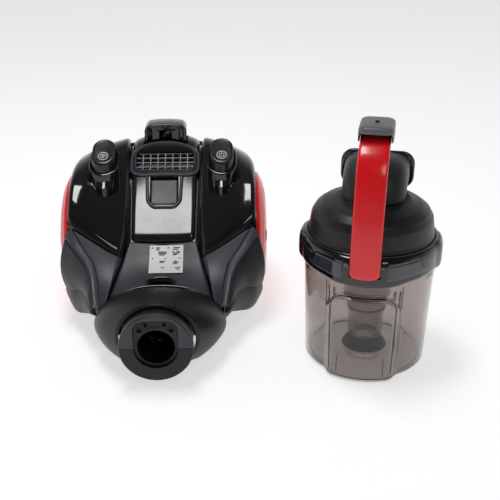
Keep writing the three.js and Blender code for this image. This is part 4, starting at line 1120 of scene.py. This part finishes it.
def make_pedals():
    outline = stadium(38.4, 52.4)
    flare = [(PEDAL[0] + (x - PEDAL[0]) * 1.05,
              y - 9 * smooth(PEDAL[1], PEDAL[1] - 26, y) * (1 - abs(x - PEDAL[0]) / 20)) for x, y in outline]
    outer = [[(x, y, 150) for x, y in flare],
             [(x, y, 163) for x, y in flare],
             [(x, y, sloped(180, y)) for x, y in outline]]
    for inward, drop in ((0, 1.6), (0.15, 0.8), (0.6, 0.2), (1.2, 0), (2.6, 0), (3.0, 0.4), (3.2, 1.2)):
        outer.append([(x, y, sloped(SHROUD_TOP - drop, y)) for x, y in inset(outline, inward)])
    bore = [[(x, y, z) for x, y in inset(outline, 3.4)] for z in (160, 150)]
    made = loft("right_shroud", outer + bore, closed=True)
    both(made, "gloss_black")

    column = stadium(30, 44)
    rings = [[(x, y, 146.2) for x, y in inset(column, 0.4)], [(x, y, 147) for x, y in column],
             [(x, y, sloped(196, y)) for x, y in column]]
    for inward, drop in ((0, 2.4), (0.3, 1.3), (1.0, 0.5), (2.0, 0.1), (3.2, 0), (3.7, 0.35), (4.3, 0.5)):
        rings.append([(x, y, sloped(PEDAL_TOP - drop, y)) for x, y in inset(column, inward)])
    pedal = loft("right_pedal", rings)
    twin = mirrored(pedal, "left_pedal")
    done(pedal, "pedal_black", "power_button", "power_pedal", slot="gloss_black")
    done(twin, "pedal_black", "rewind_button", "rewind_pedal", slot="gloss_black")
    ridges = []
    for k in range(9):
        y = PEDAL[1] + 1 + 2 * k
        reach = 10.4 if y < PEDAL[1] + 8 else math.sqrt(max(4, 10.4 ** 2 - (y - PEDAL[1] - 7) ** 2))
        path = [((x, y, sloped(200.5, y)), (0, 0.91, 0.41), (0, -0.41, 0.91))
                for x in (PEDAL[0] - reach, PEDAL[0] + reach)]
        ridges.append(sweep("ridge", path, [(0.55, 0), (0.3, 0.45), (-0.3, 0.45), (-0.55, 0), (0, -0.3)]))
    grip = merged("right_pedal_ridges", *ridges)
    twin = mirrored(grip, "left_pedal_ridges")
    done(grip, "satin_black", "power_button")
    done(twin, "satin_black", "rewind_button")
    make_icons()


def icon_ring(name, radius, width, start, sweep_by, at, steps=40):
    """A flat printed arc on the sloped top of a pedal."""
    def pair(k, r):
        a = start + sweep_by * k / steps
        x, y = at[0] + r * math.cos(a), at[1] + r * math.sin(a)
        return tuple((x, y, sloped(z, y)) for z in PRINT)

    return sheet(name, range(steps + 1), (radius - width / 2, radius + width / 2), pair)


def icon_bar(name, a, b, width):
    ahead = (Vector(b) - Vector(a)).normalized()
    side = Vector((-ahead.y, ahead.x)) * width / 2
    corners = [Vector(a) - side, Vector(b) - side, Vector(b) + side, Vector(a) + side]
    return loft(name, [[(p.x, p.y, sloped(z, p.y)) for p in corners] for z in PRINT[::-1]])


def make_icons():
    at = (PEDAL[0], PEDAL[1] - 8)
    power = [icon_ring("rim", 6.2, 0.9, 0, math.tau, at), icon_ring("arc", 3.1, 0.8, 2.2, 5.0, at),
             icon_bar("bar", (at[0], at[1] + 0.4), (at[0], at[1] + 4.2), 0.8)]
    done(merged("power_icon", *power), "icon", "power_button", slot="label")
    at = (-PEDAL[0], PEDAL[1] - 8)
    cord = [icon_ring("rim", 6.2, 0.9, 0, math.tau, at), icon_ring("coil", 3.3, 0.8, 0.5, 4.6, at),
            icon_ring("core", 1.3, 0.7, 0, math.tau, at), icon_bar("tail", (at[0] + 2.6, at[1] - 1.6),
                                                               (at[0] + 4.4, at[1] + 1.4), 0.8)]
    done(merged("rewind_icon", *cord), "icon", "rewind_button", slot="label")


# ---------------------------------------------------------------- body: back and underside
def make_rear_cover():
    def pair(a, t):
        u = 2 * a - 1
        x0, y0 = 96 * u, 176 - 10 * u ** 4
        z0 = top(x0, y0) + 0.5
        out, fall = math.sin(t * math.pi / 2), 1 - math.cos(t * math.pi / 2)
        x, y = x0 * (1 - 0.03 * t), y0 + (27 - 20 * abs(u) ** 3) * out
        z = z0 + (38 - z0) * (0.75 * fall + 0.25 * t)
        drop = rim_drop(a, t, (192, 150), 3)
        return ((x * (1 - drop * 0.002), y - drop * 0.6, z - drop * 0.3 * (1 - t)),
                (x * 0.965, y - 3.6, z - 2.2 * smooth(50, 64, z)))

    made = sheet("rear_shell", edge_stops(70, 192, 3, 4), edge_stops(50, 150, 3, 4), pair)
    opening = xz_prism("opening", round_rect(118, 65.5, 5, 6, (0, 109.25)), 165, 235, 0)
    gland = lathe("gland", band(0, 9, 150, 230), "y", (CORD_OUTLET[0], 0, CORD_OUTLET[1]), 0, 48, BODY)
    cut(made, opening, gland)
    done(made, "gloss_black", "body", "rear_cover")


LOUVRES = [(x, 90 + 10 * i) for i in range(5) for x in (-25, 25)]


def make_exhaust():
    made = xz_prism("exhaust_door", round_rect(114, 60, 8, 8, (0, 110)), 199, 203, 1.0)
    slots = [xz_prism("slot", round_rect(46, 6, 2.2, 4, place), 190, 210, 0) for place in LOUVRES]
    cut(made, *slots)
    soften(made, 0.5, 2, 45)
    louvres = []
    for x, z in LOUVRES:
        turn = Matrix.Translation((0, 200.8, z)) @ Matrix.Rotation(math.radians(58), 4, "X")
        louvres.append(prism("louvre", round_rect(46.6, 4.4, 0.6, 3, (x, 0)), -0.6, 0.6, 0.4, turn))
    tab = block(-12, 12, 202.5, 206, 132, 137, 1.0, "tab")
    hinge = lathe("hinge", band(0, 2.4, -50, 50), "x", (0, *EXHAUST_HINGE), 0.5, 32, BODY)
    done(merged("exhaust_louvre_door", made, tab, hinge, *louvres), "satin_black", "exhaust_door",
         "exhaust_cover")
    folds = [(-52 + 2 * k, 184.6 if k % 2 else 187.4) for k in range(53)]
    outline = folds + [(x, y + 6) for x, y in folds[::-1]]
    pleats = loft("exhaust_pleats", [[(x, y, z) for x, y in outline] for z in (84.5, 135.5)])
    done(pleats, "filter", "body", "exhaust_filter", sharp=20)


TUB_WALL, TUB_NARROWING = 2.6, 0.98  # the foot of its sides against their rim
SIDE_LINE = [(-128, 46), (-112, 66), (-90, 79), (-60, 93), (-40, 96), (0, 96), (60, 96), (130, 96),
             (150, 95), (162, 90)]


def make_tub():
    half = Curve([(x, y) for y, x in SIDE_LINE])
    right = [half.at(t) for t in steps_to(64)]
    outline = [(p.x, p.y) for p in right] + [(-p.x, p.y) for p in right[::-1]]

    def rim(x, y):
        limit = 36 + 24 * smooth(-98, -92, y) + 88 * smooth(-33, -27, y)
        return min(top(x, y) - 12.5, limit)

    def loop(z, inward):
        return [(x * TUB_NARROWING - math.copysign(inward, x), y + (inward if y < 0 else -inward), z)
                for x, y in outline]

    outer = [loop(30, inward) for inward in (60, 30, 6)]
    outer += [loop(30.0 + drop, inward) for inward, drop in ((3, 0.3), (1.2, 1.0), (0.3, 2.2), (0, 4))]
    sides = [[(x * (TUB_NARROWING + 0.02 * t), y, 34 + t * (rim(x, y) - 34)) for x, y in outline]
             for t in steps_to(12)[1:]]
    lip = [[(x - math.copysign(d, x), y + (d if y < 0 else -d), rim(x, y) + up) for x, y in outline]
           for d, up in ((0.5, 0.4), (1.6, 0.4), (2.4, 0))]
    inner = [[(x * (TUB_NARROWING + 0.02 * t) - math.copysign(TUB_WALL, x),
               y + (TUB_WALL if y < 0 else -TUB_WALL),
               36 + t * (rim(x, y) - 36)) for x, y in outline] for t in steps_to(8)[::-1]]
    floor = [loop(34, inward) for inward in (6, 30, 60)]
    tub = loft("tub_shell", outer + sides + lip + inner + floor)
    cut(tub, lathe("mouth", band(0, 22.5, -40, 0), "y", (0, -100, SOCKET[1]), 0, 64,
                   BODY), block(-50, 50, 150, 180, 86, 134))
    done(tub, "satin_black", "body", "chassis_tub")
    posts = [tube("caster_boss", band(4.4, 9, 30, 44), "z", (0, CASTER[0], 0), 0.6, 48,
                   BODY),
             lathe("reel_post", band(0, 4.6, 31, 65.5), "z", (0, 20, 0), 0.6, 32, BODY)]
    for side in (-1, 1):
        posts.append(tube("bearing", band(6.4, 12, side * 87, side * 98.5), "x", (0, *WHEEL), 0.5, 48, BODY))
    cradle = block(-38, 38, 102, 138, 31, 96, 1.5, "cradle")
    cut(cradle, lathe("seat", band(0, 30.4, -10, 60), "y", (0, *FAN), 0, 64, BODY))
    done(merged("tub_mounts", cradle, *posts), "satin_black", "body")
    walls = [block(side * 89 - 1.5, side * 89 + 1.5, 148, 171, 36, 124, 0.5, "wall") for side in (-1, 1)]
    done(merged("rear_side_walls", *walls), "satin_black", "body")
    ribs = [block(-70, 70, y - 1, y + 1, 28.6, 30.6, 0.5, "rib") for y in (-20, 10, 40, 70, 100, 130)]
    ribs += [block(x - 1, x + 1, -40, 140, 28.6, 30.6, 0.5, "rib") for x in (-60, -20, 20, 60)]
    screw = [(0, 28.9), (1.8, 28.9), (2.2, 27.7), (4.4, 27.7), (4.6, 30.6), (0, 30.6)]
    for x, y in ((-74, -20), (74, -20), (-74, 140), (74, 140)):
        ribs.append(lathe("screw", screw, "z", (x, y, 0), 0.4, 32, BODY))
    done(merged("underside_ribs", *ribs), "satin_black", "body")


def make_gland():
    x, z = CORD_OUTLET
    profile = [(5, -3), (11.5, -3), (11.5, 0), (8.6, 0.2), (8.6, 9), (5, 9)]
    gland = tube("cord_outlet", [(r, -h) for r, h in profile], "y", (x, 205.6, z), 0.5, 64, BODY)
    done(gland, "satin_black", "body", "cord_gland")


# ---------------------------------------------------------------- wheels and caster
def make_wheels():
    at = (0, *WHEEL)
    wheels = ("right_wheel", "left_wheel")
    grooves = []
    for x in (105, 109, 113):
        grooves += [(84, x - 0.8), (82.8, x - 0.4), (82.8, x + 0.4), (84, x + 0.8)]
    tread = [(67, 101), (80, 101), (84, 104.5), *grooves, (84, 114), (80, 117), (67, 117)]
    tyre = tube("right_tread", tread, "x", at, 0.9, 144, BODY)
    notches = []
    for a in turns(60):
        turn = Matrix.Translation(at) @ Matrix.Rotation(a, 4, "X")
        notches.append(prism("notch", band(98, 103.2, -0.6, 0.6), 80.5, 88, 0, turn))
    cut(tyre, merged("notches", *notches))
    both(tyre, "tyre", "tyre", wheels)
    disc = tube("right_hub", [(6.3, 102), (14, 102), (20, 109), (62, 102), (66.6, 102), (66.6, 116.6),
                               (62, 116.6), (20, 113), (6.3, 113)], "x", at, 0.8, 96, BODY)
    both(disc, "satin_black", "wheel_disc", wheels)
    dome = [(0, 129), (36, 128), (56, 124), (66, 117.4), (82, 117.4), (81.3, 120.5, 2), (79.4, 123.4, 4),
            (70, 128.6, 10), (66.5, 129.9, 0.5), (65.6, 129.2, 0.4), (64.6, 130.3, 0.5), (50, 132.9, 12),
            (33, 133.9, 2), (32, 132.6, 0.4), (28, 132.6, 0.4), (27.4, 133.6, 0.5), (0, 134)]
    both(lathe("right_dome", dome, "x", at, 0.6, 144, BODY), "red", "wheel_cover", wheels)
    spokes = []
    for a in turns(5):
        turn = Matrix.Translation(at) @ Matrix.Rotation(a, 4, "X")
        rings = []
        for r, half, x in ((37, 4.6, 133.65), (48, 5.6, 133.05), (60, 7.2, 131.1)):
            low, high = x - 1.6, x + 0.35
            rings.append([(low, -half, r), (high - 0.3, -half, r), (high, -half + 0.5, r),
                          (high, half - 0.5, r), (high - 0.3, half, r), (low, half, r)])
        spokes.append(loft("spoke", rings, BODY @ turn))
    both(merged("right_dome_inlays", *spokes), "satin_black", bodies=wheels)
    axle = lathe("right_spindle", [(0, 88), (6, 88), (6, 113.4), (9, 113.4), (9, 116.4), (0, 116.4)], "x",
                 at, 0.4, 48, BODY)
    both(axle, "steel", "wheel_axle")


def make_caster():
    y, trail, r = CASTER
    disc = lathe("fork", [(0, 26.8), (16, 26.8), (16, 29.5), (4, 29.5), (4, 41.5), (0, 41.5)], "z",
                 (0, y, 0), 0.5, 48, BODY)
    cheeks = []
    for x in (9.5, -12):
        outline = [(-10, 28), (7, 10), (9, 8), (12, 7.2), (15, 8), (17.5, 11), (18, 15), (14, 28)]
        turn = Matrix.Translation((0, y, 0)) @ FROM_YZ
        cheeks.append(prism("cheek", fillet(outline, 2, closed=True), x, x + 2.5, 0.5, turn))
    done(merged("caster_frame", disc, *cheeks), "satin_black", "caster", "caster_fork")
    at = (0, y + trail, r)
    roller = tube("caster_wheel_tread", [(2.4, -8.8), (r - 2, -8.8), (r, -6), (r, -0.7), (r - 0.7, -0.3),
                                          (r - 0.7, 0.3), (r, 0.7), (r, 6), (r - 2, 8.8), (2.4, 8.8)],
                   "x", at, 0.7, 64, BODY)
    done(roller, "tyre", "caster_wheel", "caster_roller")
    axle = lathe("caster_pin", band(0, 2, -12.5, 12.5), "x", at, 0.3, 32, BODY)
    done(axle, "steel", "caster", "caster_axle")


# ---------------------------------------------------------------- bin
def ring_point(degrees, r, z):
    a = math.radians(degrees)
    return (r * math.sin(a), -r * math.cos(a), z)


def bay(angle, z):
    arch = 112 - 16 * smooth(12, 34, abs(angle)) ** 2
    return 8 * (1 - smooth(24, 38, abs(angle))) * (1 - smooth(arch - 6, arch, z))


CUP_RADIUS, CUP_FLARE, CUP_HEIGHT, CUP_WALL = 71, 4.5, 130, 2.4


def cup_radius(angle, z):
    return CUP_RADIUS + CUP_FLARE * z / CUP_HEIGHT + bay(angle, z)


def make_cup():
    degrees = [-180 + 3 * k for k in range(120) if abs(-180 + 3 * k) > 46]
    degrees = sorted(degrees + [-45 + k for k in range(91)])
    low = [5.6, 8, 12] + [12 + 3 * k for k in range(1, 29)]
    levels = low + [96 + k for k in range(1, 19)] + [118, 122, 126, 129.4, CUP_HEIGHT]

    def base_ring(inward, z):
        return [ring_point(a, cup_radius(a, 5) - inward, z) for a in degrees]

    rings = [[ring_point(a, 8, 4.6) for a in degrees]]
    rings += [base_ring(*step) for step in ((18, 3.4), (7.5, 2.6), (7.1, 0.4), (6.4, 0), (4.6, 0),
                                            (3.2, 0.5), (1.2, 2.2), (0.3, 3.8))]
    rings += [[ring_point(a, cup_radius(a, z), z) for a in degrees] for z in levels]
    rings.append([ring_point(a, cup_radius(a, CUP_HEIGHT) - 0.8, CUP_HEIGHT) for a in degrees])
    for z in levels[::-1]:
        row = []
        for a in degrees:
            rib = sum(1.1 * max(0, 1 - abs(abs(a) - at) / 1.5) for at in (27, 33)) * smooth(120, 112, z)
            step = 0.5 * smooth(119, 121, z)
            row.append(ring_point(a, cup_radius(a, z) - CUP_WALL - rib + step, z))
        rings.append(row)
    rings += [base_ring(4, 6.2), base_ring(16, 6.0)]
    rings += [[ring_point(a, r, z) for a in degrees]
              for r, z in ((22, 6.2), (20.5, 8), (12.5, 9.4), (11, 12), (10, 19.4), (9, 20))]
    done(loft("dust_cup", rings, BIN), "smoke", "bin", "cup", sharp=50)
    seal = tube("rim_seal", band(71, 75.4, 130.3, 132.4), radius=0.6,
                 segments=128)
    done(seal, "tyre", "bin", "cup_seal")


def cup_line(name, places, width=0.9):
    """A thin rib on the inside of the cup's wall, through (degrees, height) places."""
    points = [Vector(ring_point(a, cup_radius(a, z) - 2.9, z)) for a, z in places]
    path = []
    for i, p in enumerate(points):
        ahead = (points[min(len(points) - 1, i + 1)] - points[max(0, i - 1)]).normalized()
        outward = Vector((p.x, p.y, 0)).normalized()
        path.append((tuple(p), ahead.cross(outward).normalized(), outward))
    half = width / 2
    return sweep(name, path, [(-half, -half), (half, -half), (half, half), (-half, half)], place=BIN)


def make_cup_lines():
    """The moulded lines round the bay on the cup's front."""
    def arch(a):
        return 108 - 16 * smooth(12, 34, abs(a)) ** 2

    rise = [(-27, 10 + 5.5 * k) for k in range(16)]
    over = [(a, arch(a)) for a in range(-27, 28, 3)]
    lines = [cup_line("line", rise + over + [(-a, z) for a, z in rise[::-1]])]
    for side in (-1, 1):
        lines.append(cup_line("line", [(35 * side, 10 + 6 * k) for k in range(19)]))
        lines.append(cup_line("line", [((20 - 0.05 * k) * side, 8 + 3 * k) for k in range(9)], 0.7))
    done(merged("cup_moulded_lines", *lines), "satin_black", "bin")


COLLAR_FOOT, COLLAR_RADIUS = 126, 79


def make_collar():
    def lug(a):
        return 3 * (1 - smooth(8, 20, abs(abs(a) - 90)))

    def front(a):
        return 3 * (1 - smooth(20, 38, abs(a)))

    def dip(a):
        return 2 * (1 - smooth(18, 46, abs(a)))

    profile = [(-1.9, 0.2), (-1.3, 0), (-0.6, 0.6), (0, 3), (0.2, 8), (0.2, 16), (0, 22), (-0.7, 25.4),
               (-2.4, 28.6), (-4.4, 29.9), (-7.8, 30)]
    inner_profile = [(71.2, 30), (70.2, 29), (70.2, 8), (76.4, 7), (76.4, 1), (77, 0.3)]
    rings = []
    for k in range(240):
        a = -180 + 1.5 * k
        row = []
        for dr, dz in profile:
            grow = lug(a) + front(a) * (1 if dz < 23 else 0.4 + 0.6 * smooth(30, 23, dz))
            facet = (1.6 * smooth(17, 19, abs(a)) * smooth(50, 44, abs(a)) * smooth(5, 9, dz)
                     * smooth(26, 22, dz))
            z = COLLAR_FOOT + dz - dip(a) * smooth(9, 2, dz)
            row.append(ring_point(a, COLLAR_RADIUS + dr + grow - facet, z))
        for r, dz in inner_profile:
            row.append(ring_point(a, r, COLLAR_FOOT + dz - dip(a) * smooth(6, 1, dz)))
        rings.append(row)
    made = loft("lid_collar", rings, BIN, closed=True)
    cut(made, block(-17.1, 17.1, -110, -74.6, 134.4, 170, place=BIN))
    done(soften(made, 0.5, 2, 60), "gloss_black", "lid", "bin_collar", sharp=40)

    def window(side):
        def pair(s, t):
            a = side * (14.5 + s * (36 + 6 * (1 - t)))
            z = 131.0 + 3.0 * s + (18.0 - 3.5 * s) * t
            drop = rim_drop(s, t, (34, 14), 1.5)
            grow = lug(a) + front(a)
            return (ring_point(a, 79.5 + grow * 0.8 - 0.5 * drop - 1.2 * t, z),
                    ring_point(a, 77.0 + grow - 1.0, z))

        return sheet("facet", edge_stops(22, 34, 1.5, 4), edge_stops(10, 14, 1.5, 4), pair, place=BIN)

    windows = [window(side) for side in (-1, 1)]
    pins = [lathe("pin", [(0, -3), (2.0, -3), (2.0, 1.2), (1.4, 1.6), (0, 1.6)], "x",
                  (side * 19.2, -78.4, 147.5), 0.4, 32) for side in (-1, 1)]
    done(merged("collar_facets", *windows), "facet", "lid", slot="gloss_black")
    done(merged("collar_pins", *pins), "cap_grey", "lid")
    deck = tube("cyclone_deck_plate", [(28.4, 140), (69.8, 140), (69.8, 143), (64, 143), (63, 141.6),
                                        (36, 141.6), (35, 143), (28.4, 143)], radius=0.5, segments=128)
    done(deck, "satin_black", "lid", "cyclone_deck")


DOME = [(30, 197), (44, 196.2), (56, 193), (64.2, 187), (68.8, 179), (70.2, 170), (71.2, 162), (73, 156.4)]


def make_dome():
    profile = DOME[::-1] + [(30, 194), (43, 193), (54, 190), (61.6, 184.6), (65.8, 177.6), (67.2, 169),
                            (68.4, 162), (70, 156.4)]
    dome = tube("lid_shell", profile, radius=6, segments=160)
    done(dome, "dome_black", "lid", "lid_dome", slot="satin_black", sharp=40)
    line = tube("dome_foot_ring", [(71.9, 156.5), (75.4, 156.5), (75.4, 157.6), (73.4, 158.4)], radius=0.5,
                 segments=160)
    done(line, "gloss_black", "lid")


DUCT_Y, DUCT_Z, DUCT_BEND, DUCT_RUN = 5, 183, 29, 20
DUCT_MOUTH = (0, DUCT_Z + DUCT_BEND)


def duct_section(t, half, depth, points=72):
    arc = 0.65
    angle = min(1, t / arc) * math.pi / 2
    run = DUCT_RUN * max(0, t - arc) / (1 - arc)
    y = DUCT_Y + DUCT_BEND * (1 - math.cos(angle)) + run
    z = DUCT_Z + DUCT_BEND * math.sin(angle)
    rounding = 0.9 - 0.35 * t
    out = []
    for a in turns(points):
        c, s = math.cos(a), math.sin(a)
        w = half * math.copysign(abs(c) ** rounding, c)
        d = depth * math.copysign(abs(s) ** rounding, s)
        out.append((w, y + d * math.cos(angle), z - d * math.sin(angle)))
    return out


def make_duct():
    outer = [duct_section(t, 36 + 2 * t, 26 - 4 * t) for t in steps_to(36)]
    inner = [duct_section(t, 33 + 2 * t, 23 - 4 * t) for t in steps_to(36)]
    made = loft("outlet_elbow", outer + inner[::-1], BIN, closed=True)
    inside = [(0, 100), (74, 100)] + [(r, z - 1.5) for r, z in DOME[::-1]] + [(0, 195.5)]
    cut(made, lathe("dome_space", inside, radius=6, segments=96))
    done(made, "duct_grey", "lid", "outlet_duct", slot="matte_grey", sharp=45)
    flange = prism("duct_rim", round_rect(86, 45, 15, 14, DUCT_MOUTH), -61, -55, 2.2, FROM_XZ, BIN, 6)
    cut(flange, prism("way", round_rect(70, 33, 10, 8, DUCT_MOUTH), -70, -50, 0, FROM_XZ, BIN))
    done(soften(flange, 0.5, 2, 50), "gloss_black", "lid", "duct_flange")
    seal = prism("duct_gasket", round_rect(82, 41, 12, 10, DUCT_MOUTH), -64.8, -61.4, 0.9, FROM_XZ, BIN)
    cut(seal, prism("way", round_rect(72, 35, 10, 8, DUCT_MOUTH), -70, -50, 0, FROM_XZ, BIN))
    done(seal, "tyre", "lid", "duct_seal")


HANDLE_HALF, HANDLE_LENGTH = 16.5, 205
HANDLE = [(-87, 135), (-86.6, 155), (-84, 180), (-79.5, 205), (-73, 230), (-63, 251), (-47, 267.5),
          (-30, 275), (-10, 278.4)]


def handle_rings(section, count=90, start=0.0, end=1.0):
    curve = Curve([(0, y, z) for y, z in HANDLE])
    rings = []
    for t in steps_to(count):
        u = start + t * (end - start)
        p = curve.even(u)
        ahead = (curve.even(min(1, u + 0.004)) - curve.even(max(0, u - 0.004))).normalized()
        inward = Vector((0, ahead.z, -ahead.y))
        rings.append([tuple(p + inward * depth + Vector((w, 0, 0))) for w, depth in section(t)])
    return rings


def make_handle():
    def shell(t):
        foot = edge_drop(t * HANDLE_LENGTH, 99, 7.5)
        w = HANDLE_HALF - foot
        edge = max(0.25, 1 - foot / 7.5)
        thin = 0.9 * smooth(0.02, 0, t)
        crown = [(x * w, thin + 0.75 * x * x) for x in (-0.8, -0.5, -0.2, 0.2, 0.5, 0.8)]
        right = [(w - 1.6 * edge, thin + 0.9), (w - 0.6 * edge, 1.5 + thin), (w - 0.1, 2.5 + thin), (w, 3.6),
                 (w, 5.1), (w - 0.4, 5.5)]
        return crown + right + [(-a, b) for a, b in right[::-1]]

    done(loft("handle_cover", handle_rings(shell, 110), BIN), "red", "lid", "handle_shell", sharp=50)

    def liner(t):
        w = HANDLE_HALF - 1.2 - edge_drop(t * HANDLE_LENGTH, 99, 7)
        rib = 0.35 * math.sin(t * HANDLE_LENGTH * 1.3) * smooth(0.3, 0.36, t) * smooth(0.86, 0.8, t)
        right = [(w, 5.8), (w + 0.1, 8.6), (w - 0.5, 10.6), (w - 2, 11.4 + rib), (w * 0.5, 11.5 + rib)]
        return [(-a, b) for a, b in right] + right[::-1]

    grip = loft("handle_grip", handle_rings(liner, 220), BIN)
    outline = [(-12, 267), (-8, 262), (8, 262), (8, 276.5), (-8.6, 277.6), (-8.6, 271.5), (-12, 271.5)]
    end = prism("end", fillet(outline, 1, closed=True), -13, 13, 0.8, FROM_YZ, BIN)
    cut(end, block(-9, 9, -1, 20, 246, 272, place=BIN))
    done(merged("handle_inner", grip, end), "satin_black", "lid", "handle_liner", sharp=40)


def make_button():
    """The cap over the handle's top end: a hollow shell with a crowned top and a parting line."""
    def loop(width, length, radius, z, crown=0.0):
        out = []
        for x, y in round_rect(width, length, radius, 10, (0, -13)):
            bend = crown * ((x / 19) ** 2 + 0.3 * ((y + 13) / 25) ** 2)
            out.append((x, y, z - bend))
        return out

    outer = [(37.4, 49.4, 8.7, 272), (38, 50, 9, 272.4), (38, 50, 9, 277.6), (37.2, 49.2, 8.6, 277.9),
             (37.2, 49.2, 8.6, 278.5), (38, 50, 9, 278.8), (38, 50, 9, 284.2), (37.5, 49.5, 8.8, 285.9, 0.3),
             (36, 48, 8.2, 287.5, 0.6), (33.5, 45.5, 7.4, 288.5, 0.9), (28, 40, 6, 289, 0.9),
             (16, 26, 4, 289, 0.9), (5, 10, 1.5, 289, 0.9)]
    inner = [(5, 10, 1.5, 281.7), (30, 42, 6, 281.7), (34, 46, 7, 281), (34, 46, 7, 272)]
    made = loft("release_cap", [loop(*row) for row in (outer + inner)[::-1]], BIN, closed=True)
    cut(made, block(-17, 17, -63, -13, 260, 281.7, place=BIN))
    done(made, "cap_grey", "release", "release_button", sharp=40)
    made.data.materials.append(LOOKS["satin_black"])
    for face in made.data.polygons:
        face.material_index = int(face.center.z < 0.2782)
    print_bars = [block(x0, x1, y, y + 1.3, 288.2, 289.0 - 0.9 * (max(abs(x0), abs(x1)) / 19) ** 2,
                        name="bar", place=BIN)
                  for x0, x1, y in ((-7, -1, -20), (1, 7, -20), (-4, 4, -23.4))]
    done(merged("cap_print", *print_bars), "satin_black", "release")
    outline = [(2, 255), (10, 255), (16.5, 249), (19, 253), (12.5, 261.5), (12.5, 268.5), (2, 268.5)]
    hook = prism("catch_hook", fillet(outline, 0.8, closed=True), -7, 7, 0.6, FROM_YZ, BIN)
    done(hook, "satin_black", "latch", "latch_hook")


def make_cyclone():
    finder = tube("finder_tube", [(25, 193), (28, 193), (28, 136), (29.2, 135), (29.2, 131), (28, 130),
                                   (28, 80), (21, 68), (21, 62), (18.6, 62), (18.6, 68), (25.6, 80.6)],
                   radius=1.2, segments=128)
    done(finder, "smoke_inner", "lid", "vortex_finder", slot="smoke")
    barrel = tube("barrel_tube", [(18.4, 61.6), (23, 61.6), (23, 58.6), (20.5, 57), (20.5, 34), (21.4, 33.4),
                                   (21.4, 31.6), (20.5, 31), (20.5, 24), (18.4, 24)],
                   radius=0.6, segments=128)
    done(barrel, "smoke_inner", "lid", "cyclone_barrel", slot="smoke")
    skirt = tube("skirt_cone", [(15, 23.6), (18.2, 23.6), (27, 9.5), (25, 8.5), (15, 21.5)], radius=0.6,
                  segments=128)
    done(skirt, "satin_black", "lid", "dust_skirt")


# ---------------------------------------------------------------- inner parts that keep their CAD shape
INNER = {"intake_duct": "satin_black", "right_pedal_spring": "steel", "left_pedal_spring": "steel",
         "motor": "steel", "impeller": "cap_grey", "cord_reel": "cap_grey", "reel_brake": "satin_black",
         "control_board": "board"}


def dress_inner_parts():
    for node, look in INNER.items():
        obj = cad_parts[node]
        for slot in obj.material_slots:
            slot.material = LOOKS[look]


place_camera()
set_lights()
lay_floor()
make_shoulders()
make_console()
make_grille_frame()
make_pocket()
make_grille()
make_catch()
make_cradle_panel()
make_label()
make_wings()
make_fenders()
make_bumpers()
make_bands()
make_hood()
make_socket()
make_pedals()
make_rear_cover()
make_exhaust()
make_tub()
make_gland()
make_wheels()
make_caster()
make_cup()
make_cup_lines()
make_collar()
make_dome()
make_duct()
make_handle()
make_button()
make_cyclone()
dress_inner_parts()

bpy.context.view_layer.update()
